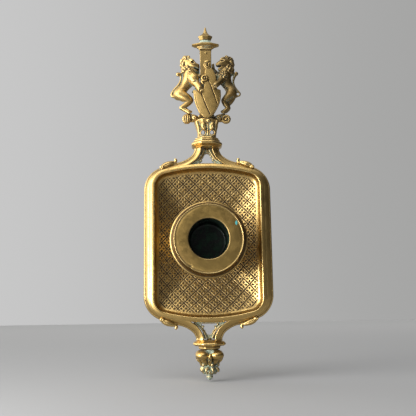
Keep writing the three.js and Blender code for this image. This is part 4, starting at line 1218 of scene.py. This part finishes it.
def lion_left():
    """The left supporter, rearing up to face the shield. Heights are over LION_DEPTH."""
    clay = Clay([-22.4, 74.4, 8.6], [-1.2, 113.4, 24.4], level=LION_DEPTH)
    # Trunk: chest, ribs, waist, haunch.
    clay.limb([(-9.6, 103, 0, 3.3), (-9.3, 98.9, 0.3, 3.9), (-10.6, 95.3, 0, 3.3),
               (-12.9, 91.8, 0, 2.55), (-15.2, 88.9, 0, 3.1), (-16.4, 87, 0, 3)], 0.6)
    clay.ball((-15.2, 87.5, 0.9), (3.5, 3.2, 3), 0.6, turn=35)
    # Far hind leg, then the near one: thigh, shank, hock, foot.
    clay.limb([(-14.8, 86.6, -1.4, 2.4), (-10.9, 84.8, -1.6, 1.7), (-11.6, 82.4, -1.6, 1.3),
               (-13.8, 80.2, -1.5, 1.1), (-11.2, 78, -1.2, 1.1)], 0.5)
    clay.limb([(-15.2, 86.8, 1, 3), (-11.8, 84.9, 1.2, 2.7), (-9.5, 83.4, 1.1, 2)], 0.6)
    clay.limb([(-9.6, 83.2, 1.1, 1.8), (-11, 81.6, 1, 1.65), (-13, 80, 0.9, 1.35),
               (-14.5, 79.1, 0.8, 1.2)], 0.4)
    clay.ball((-14.7, 79, 0.8), (1.1, 1, 1), 0.3)
    clay.limb([(-14.7, 78.9, 0.8, 1.1), (-12.9, 77.9, 0.9, 1.1), (-11.2, 76.8, 1, 1.15),
               (-10.2, 76.2, 1.1, 1.25)], 0.35)
    hind_toes(clay, ((-9, 76.7), (-9.1, 75.9), (-10, 75.4)), -20)
    clay.groove([(-16.6, 85.3, 2.2, 0.3), (-13.4, 84.2, 2.9, 0.3), (-10.9, 83.9, 2.6, 0.25)], 0.3)
    # Near foreleg to the shield, the far one behind it.
    clay.limb([(-8.6, 98, 2, 3.2), (-7.2, 95.8, 3.4, 3.2), (-6.3, 93.2, 4.4, 2.3), (-5, 90.8, 6, 1.7),
               (-3.8, 88.3, PAW_RISE - 0.4, 1.7)], 0.5)
    clay.groove([(-8.9, 94.2, 4.6, 0.3), (-7.4, 92.9, 6, 0.35), (-5.6, 93.2, 7, 0.3)], 0.3)
    for k, (x, z) in enumerate(((-4.3, 87.1), (-3.3, 86.7), (-2.4, 87.1))):
        clay.ball((x, z, PAW_RISE + 0.35), (0.55, 0.85, 0.75), 0.12, turn=10 - 12 * k)
    clay.limb([(-7.6, 99.2, -0.4, 2), (-5.4, 98.2, 1.6, 1.4), (-3.9, 97.4, 3.6, 1.1)], 0.5)
    # Tail along the back, with its tuft.
    clay.limb([(-18.2, 86.3, 0, 0.9), (-19.9, 86.4, 0, 0.75), (-20.2, 88, 0, 0.65),
               (-18.7, 90.6, 0, 0.65), (-16.6, 93, 0, 0.62), (-15.1, 95.6, 0, 0.6),
               (-14.7, 98.2, 0, 0.62), (-15.6, 99.9, 0.2, 0.9), (-16.9, 100.4, 0.2, 0.75)], 0.3)
    clay.ball((-16.6, 99.6, 0.7), (1.05, 1.15, 0.9), 0.25, turn=30)
    head(clay, -1, (-9.9, 105.9), 3.5, ((-8.9, 105.6), (-7, 104.5), (-5.3, 103.6)), ((-8.6, 102.9),
                                                                                     (-6.9, 101.7),
                                                                                     (-5.9, 101.2)),
         (-5.3, 102.35), (-4.6, 104.2), ((-9.2, 107.6, 3.8, 0.75), (-7.9, 107, 4.1, 0.75),
                                         (-6.8, 106, 3.8, 0.55)), (-7.8, 105.9), (-10, 108.9),
         (-9.9, 108.8))
    mane(clay, -1, (((-11.5, 106.9, 0), (3.1, 3.9, 3.3)), ((-11.6, 102.6, 0), (3.2, 3.6, 3.5)),
                    ((-9.6, 100.2, 1), (2.9, 2.6, 3.4))), (((-11.3, 106.6, 0), (3.3, 4.3, 3.5)),
                                                           ((-10.9, 101.8, 0), (3.2, 3.3, 3.6)),
                                                           ((-9.2, 99.4, 0.6), (2.7, 2.6, 3.9)),
                                                           ((-8, 96.9, 2.2), (3, 2.5, 3.5))))
    return clay


def lion_right():
    """The right supporter: the same stance from the other side, its tail looped."""
    clay = Clay([1.6, 74.2, 8.6], [22.4, 113.2, 24.4], level=LION_DEPTH)
    clay.limb([(12.2, 103, 0, 3.3), (10.9, 98.7, 0.3, 3.9), (11.9, 95.2, 0, 3.2), (13.6, 92, 0, 2.55),
               (14.9, 89.2, 0, 2.9), (14.9, 87.2, 0, 2.9)], 0.6)
    clay.ball((14.7, 88.2, 0.9), (3, 3.1, 2.8), 0.6, turn=-25)
    # Far hind leg stands further back, the near one bends at the hock.
    clay.limb([(15.4, 86, -0.8, 2.2), (14, 83.4, -1, 1.8), (12.6, 81.2, -1, 1.3),
               (13.2, 79.2, -0.8, 1.1), (12, 77.6, -0.6, 1), (11.2, 76.8, -0.4, 0.9)], 0.45)
    clay.limb([(14.4, 86.8, 1, 2.6), (12.2, 84.7, 1.2, 2.1), (10.5, 83.3, 1.1, 1.45)], 0.6)
    clay.limb([(10.5, 83.2, 1.1, 1.6), (11.2, 81.3, 1, 1.45), (12.4, 79.6, 0.9, 1.2),
               (12.9, 78.6, 0.8, 1.1)], 0.4)
    clay.limb([(12.9, 78.6, 0.9, 1.05), (11.6, 77.5, 1, 1.05), (10.2, 76.4, 1.1, 1.2)], 0.35)
    hind_toes(clay, ((9.1, 76.7), (9.2, 75.9), (10.1, 75.5)), 20)
    clay.groove([(15.6, 85.2, 2.3, 0.3), (13.2, 83.6, 2.8, 0.3), (11.6, 82.2, 2.4, 0.25)], 0.3)
    clay.limb([(10.4, 98.3, 1.8, 2.9), (9.2, 96, 3.1, 2.3), (8.2, 94, 4.4, 1.75), (6.9, 92, 6.2, 1.45),
               (5.5, 90.6, PAW_RISE - 0.4, 1.55)], 0.5)
    for k, (x, z) in enumerate(((4.3, 89.8), (4.8, 89), (5.8, 89))):
        clay.ball((x, z, PAW_RISE + 0.35), (0.85, 0.55, 0.75), 0.12, turn=35 + 20 * k)
    clay.limb([(9.4, 99.6, -0.4, 2), (7.4, 98.6, 1.4, 1.4), (6.2, 97.9, 3.2, 1.1)], 0.5)
    # The tail makes a loop behind the haunch and runs up the back.
    clay.ring((18.9, 87.7, 0), 1.25, 0.5, 0.2)
    clay.limb([(16.9, 86.2, 0, 0.85), (18.3, 86.3, 0, 0.65)], 0.3)
    clay.limb([(19.5, 88.8, 0, 0.5), (18.2, 90.4, 0, 0.5), (16.9, 92.6, 0, 0.5), (16.3, 95.4, 0, 0.55),
               (16.9, 98.2, 0, 0.75), (17.8, 100, 0.2, 0.9)], 0.3)
    clay.ball((18.1, 100.2, 0.4), (1.25, 1.3, 1), 0.25, turn=-30)
    head(clay, 1, (11.9, 106.4), 3.4, ((10.9, 106.4), (9, 105.5), (7.3, 104.8)), ((10.6, 103.7),
                                                                                  (8.9, 102.6),
                                                                                  (7.9, 102.2)),
         (7.2, 103.55), (6.6, 105.4), ((10.9, 109.1, 3, 0.7), (9.6, 108.4, 3.2, 0.7),
                                       (8.8, 107.6, 2.9, 0.5)), (9.7, 107), (12.1, 109.6), (12, 109.5))
    mane(clay, 1, (((13.4, 106.7, 0), (3.1, 3.8, 3.3)), ((13.8, 102.6, 0), (3.3, 3.6, 3.5)),
                   ((11.4, 100, 1), (2.9, 2.6, 3.4))), (((13.2, 106.4, 0), (3.2, 4.1, 3.5)),
                                                        ((13.1, 101.9, 0), (3.2, 3.3, 3.6)),
                                                        ((10.9, 99.2, 0.6), (2.7, 2.6, 3.9)),
                                                        ((10, 97, 2.2), (3, 2.5, 3.4))))
    return clay


def around_spine(count, phase=0):
    """For each of several places round the spine, what turns (out, z, ...) into a spot there."""
    for k in range(count):
        angle = TURN * (k + phase) / count
        c, s = math.cos(angle), math.sin(angle)
        yield lambda out, z, *size, across=0, c=c, s=s: (out * c - across * s, z,
                                                           out * s + across * c, *size)


def drop_bulb():
    """Four round lobes under the collar, a pointed leaf in the cleft between them."""
    clay = Clay([-9.2, -69, 4.4], [9.2, -58.8, 22.4], cell=0.18, level=SPINE)
    clay.limb([(0, -59.8, 0, 4.1), (0, -62, 0, 4.4), (0, -64.6, 0, 3.7), (0, -67.8, 0, 2.3)], 0.6)
    for at in around_spine(4, 0.5):
        clay.ball(at(5.4, -62.3), (3.9, 2.65, 3.9), 0.5)
        clay.limb([at(3.888, -60.6, 1.9), at(4.32, -64.3, 1.8), at(2.43, -66.6, 1.3)], 0.6)
    for at in around_spine(4):
        clay.limb([at(6.3, -61.4, 0.4), at(6.8, -63, 0.8), at(6.2, -64.6, 1), at(4.9, -66.2, 0.8),
                   at(4.2, -67.8, 0.5)], 0.2)
        clay.groove([at(7.6, -63, 0.2), at(7.1, -64.8, 0.25), at(5.7, -66.6, 0.2)], 0.12)
        for lean in (1, -1):
            clay.groove([at(6.6, -64.9, 0.28, across=lean * 0.4),
                         at(7.4, -62.9, 0.28, across=lean * 1.1),
                         at(7.1, -60.9, 0.28, across=lean * 2)], 0.2)
    return clay


def drop_leaves():
    """Two tiers of small curled leaves round the foot of the bulb, and buds under them."""
    clay = Clay([-6.4, -73.2, 7.2], [6.4, -65, 19.6], cell=0.15, level=SPINE)
    clay.limb([(0, -67.5, 0, 3), (0, -70.4, 0, 2.5), (0, -72.2, 0, 1.9)], 0.4)
    for at in around_spine(6, 0.25):
        clay.limb([at(2.4, -66, 0.8), at(3.9, -66.4, 0.85), at(4.9, -67.3, 0.65), at(4.7, -68.1, 0.45)],
                  0.2)
        clay.rod(at(3.4, -65.5, 0.25), at(5.4, -66.6, 0.25), 0.12, carve=True)
    for k, at in enumerate(around_spine(8, 0.5)):
        long = 1.0 if k % 2 == 0 else 0.86
        clay.limb([at(2.6, -68.9, 0.8), at(4.0 * long, -69.2, 0.85), at(5.0 * long, -70.1, 0.65),
                   at(4.9 * long, -71, 0.5)], 0.25)
        clay.rod(at(3.2, -68.3, 0.2), at(5.3, -69.4, 0.2), 0.12, carve=True)
        clay.rod(at(3.6, -71.6, 0.55), at(2.2, -71.4, 0.6), 0.25)
    for at in around_spine(4):
        clay.limb([at(2.2, -70.2, 0.9), at(3.2, -71.4, 0.8), at(2.7, -72.3, 0.5)], 0.2)
    return clay


def drop_tip():
    """The fluted knob at the very bottom."""
    clay = Clay([-2.6, -76.2, 10.8], [2.6, -72.6, 16], cell=0.12, level=SPINE)
    clay.ball((0, -74, 0), (1.85, 1.25, 1.85), 0.2)
    clay.limb([(0, -73.2, 0, 1.2), (0, -74.6, 0, 1), (0, -75.2, 0, 0.34)], 0.2)
    for at in around_spine(6):
        clay.rod(at(2, -73.3, 0.18), at(1.5, -75.2, 0.16), 0.12, carve=True)
    return clay


def hanger():
    """A strap riveted to the back of the post, turned down to an eye against the wall."""
    clay = Clay([-6.4, 76.6, 0.2], [8, 100.2, 11.4])
    clay.slab([(-2.6, 89.6), (2.6, 89.6), (2.6, 98.4), (1.6, 99.4), (-1.6, 99.4), (-2.6, 98.4)], 8.5,
              9.8, rounding=0.25)
    clay.slab([(-2.6, 88.8), (2.6, 88.8), (2.6, 90.2), (-2.6, 90.2)], 1.2, 9.8, rounding=0.3)
    eye = (0.8, 83.6)
    clay.slab(arc(*eye, 5.8, 0, 352.5, 47), 1.2, 2.6, rounding=0.3)
    clay.slab(arc(*eye, 3.3, 0, 350, 35), -2, 6, carve=True, rounding=0.05, soft=0.1)
    for z in RIVETS:
        clay.rod((0, z, 6, 1.2), (0, z, 12, 1.2), 0.1, carve=True)
    return clay


def mantling(side):
    """The thin web that ties a lion to the post, behind both of them."""
    clay = Clay([3.6, 84.6, 11.4], [9.4, 108.2, 15.6], right=side)
    clay.slab([(3.75, 86.4), (8.4, 89.4), (6.6, 91.4), (6.2, 94.4), (8.6, 97), (8.2, 101.2),
               (5.6, 103.6), (5, 107.2), (3.75, 106.6)], 12.2, 14.3, rounding=0.5)
    for z in (89, 93.4, 97.6, 101.2, 104.4):
        clay.ball((4.6 + 0.5 * math.sin(z), z, 14.2), (0.8, 1.5, 0.6), 0.3, turn=20)
    return clay


def cast(node, clay, material):
    name = f"{node}_cast"
    piece(name, clay.mesh(name), material, [node])


for end, word in ENDS:
    cast(f"tracery_{word}", tracery(end), green_brass)
    for side, hand in HANDS:
        cast(f"leaf_scroll_{word}_{hand}", leaf_scroll(side, end), frame_brass)
cast("neck_capital", capital(), crest_brass)
for side, hand in HANDS:
    cast(f"bud_cluster_{hand}", bud_cluster(side), crest_brass)
cast("shield", shield(), shield_brass)
# The webs behind the lions and the right lion take the darker, painted shade copy of the crest brass.
for side, hand in HANDS:
    web = f"mantling_{hand}"
    piece(web, mantling(side).mesh(web), painted_shade_brass, [f"lion_{hand}"])
cast("lion_left", lion_left(), crest_brass)
cast("lion_right", lion_right(), painted_shade_brass)
cast("drop_bulb", drop_bulb(), bulb_brass)
cast("drop_leaves", drop_leaves(), dark_brass)
cast("drop_tip", drop_tip(), dark_brass)
cast("hanger", hanger(), dull_brass)


# ------------------------------------------------------------------ stage, lights, camera
FLOOR_Z = -0.0765
FLOOR_NEAR, FLOOR_FAR = (0.315, 0.315, 0.318), (0.47, 0.47, 0.47)
BACKDROP_LEFT, BACKDROP_RIGHT = (0.585, 0.585, 0.585), (0.375, 0.375, 0.37)
ROOM_LEFT, ROOM_MIDDLE, ROOM_RIGHT = (2.2, 2.2, 2.15), (0.19, 0.19, 0.19), (0.06, 0.06, 0.062)
CEILING = (0.7, 0.7, 0.7)

floor_mesh = bpy.data.meshes.new("floor")
floor_mesh.from_pydata([(-6, -6, FLOOR_Z), (6, -6, FLOOR_Z), (6, 1, FLOOR_Z), (-6, 1, FLOOR_Z)],
                       [], [(0, 1, 2, 3)])
floor = bpy.data.objects.new("floor", floor_mesh)
bpy.context.scene.collection.objects.link(floor)
# Painted light: the floor is paler towards the back, where the lamps' light falls off, so that it meets
# the backdrop without a step.
floor_paint, floor_shader, n = shaded("floor_pale")
back = n.split(n.place)[1]
n.feed(floor_shader.inputs["Base Color"], n.blend(n.band(back, 0.0, 0.8), FLOOR_NEAR, FLOOR_FAR))
n.feed(floor_shader.inputs["Roughness"], 0.9)
floor_mesh.materials.append(floor_paint)

world = bpy.data.worlds.new("studio")
bpy.context.scene.world = world
world.use_nodes = True
n = Nodes(world.node_tree)
across, away, up = n.split(n.direction)
# Behind the piece a pale backdrop, painted darker towards the right as a painted shade; a bright wall
# to its left, a dark one to its right.
backdrop = n.blend(n.band(across, -0.45, 0.45), BACKDROP_LEFT, BACKDROP_RIGHT)
room = n.blend(n.band(across, -0.85, -0.15), ROOM_LEFT, ROOM_MIDDLE)
room = n.blend(n.band(across, -0.05, 0.55), room, ROOM_RIGHT)
shown = n.band(away, 0.35, 0.75) * n.band(n.math("ABSOLUTE", across), 0.62, 0.44)
colour = n.blend(n.band(up, 0.6, 0.92), n.blend(shown, room, backdrop), CEILING)
n.feed(world.node_tree.nodes["Background"].inputs["Color"], colour)


def softbox(name, place, aim, size, power, colour=(1, 1, 1)):
    """A rectangular lamp, in metres and watts."""
    data = bpy.data.lights.new(name, "AREA")
    data.shape = "RECTANGLE"
    data.size, data.size_y = size
    data.energy = power
    data.color = colour
    lamp = bpy.data.objects.new(name, data)
    lamp.location = place
    lamp.rotation_mode = "QUATERNION"
    lamp.rotation_quaternion = (Vector(aim) - Vector(place)).to_track_quat("-Z", "Y")
    bpy.context.scene.collection.objects.link(lamp)


MIDDLE = (0, -0.015, 0.02)
softbox("key_left", (-0.59, -0.31, 0.05), MIDDLE, (0.36, 0.80), 5.8, (1.0, 0.985, 0.95))
softbox("fill_top", (-0.16, -0.41, 0.60), MIDDLE, (0.58, 0.36), 2.2)
softbox("low_left", (-0.20, -0.20, -0.040), (0.02, -0.01, -0.02), (0.10, 0.06), 0.45)

AIM = Vector((0.15, -17, 18.9)) * MM
EYE = Vector((-9.8, -336.4, -34.9)) * MM
ROLL, VIEW, SENSOR = math.radians(-0.786), math.radians(40), 36
camera_data = bpy.data.cameras.new("camera")
camera_data.sensor_width = SENSOR
camera_data.lens = SENSOR / 2 / math.tan(VIEW / 2)
camera_data.clip_start = 0.01
camera = bpy.data.objects.new("camera", camera_data)
bpy.context.scene.collection.objects.link(camera)
camera.location = EYE
camera.rotation_mode = "QUATERNION"
look = (AIM - EYE).to_track_quat("-Z", "Y")
camera.rotation_quaternion = look @ Matrix.Rotation(ROLL, 3, "Z").to_quaternion()
bpy.context.scene.camera = camera
bpy.context.scene.view_settings.view_transform = "Standard"
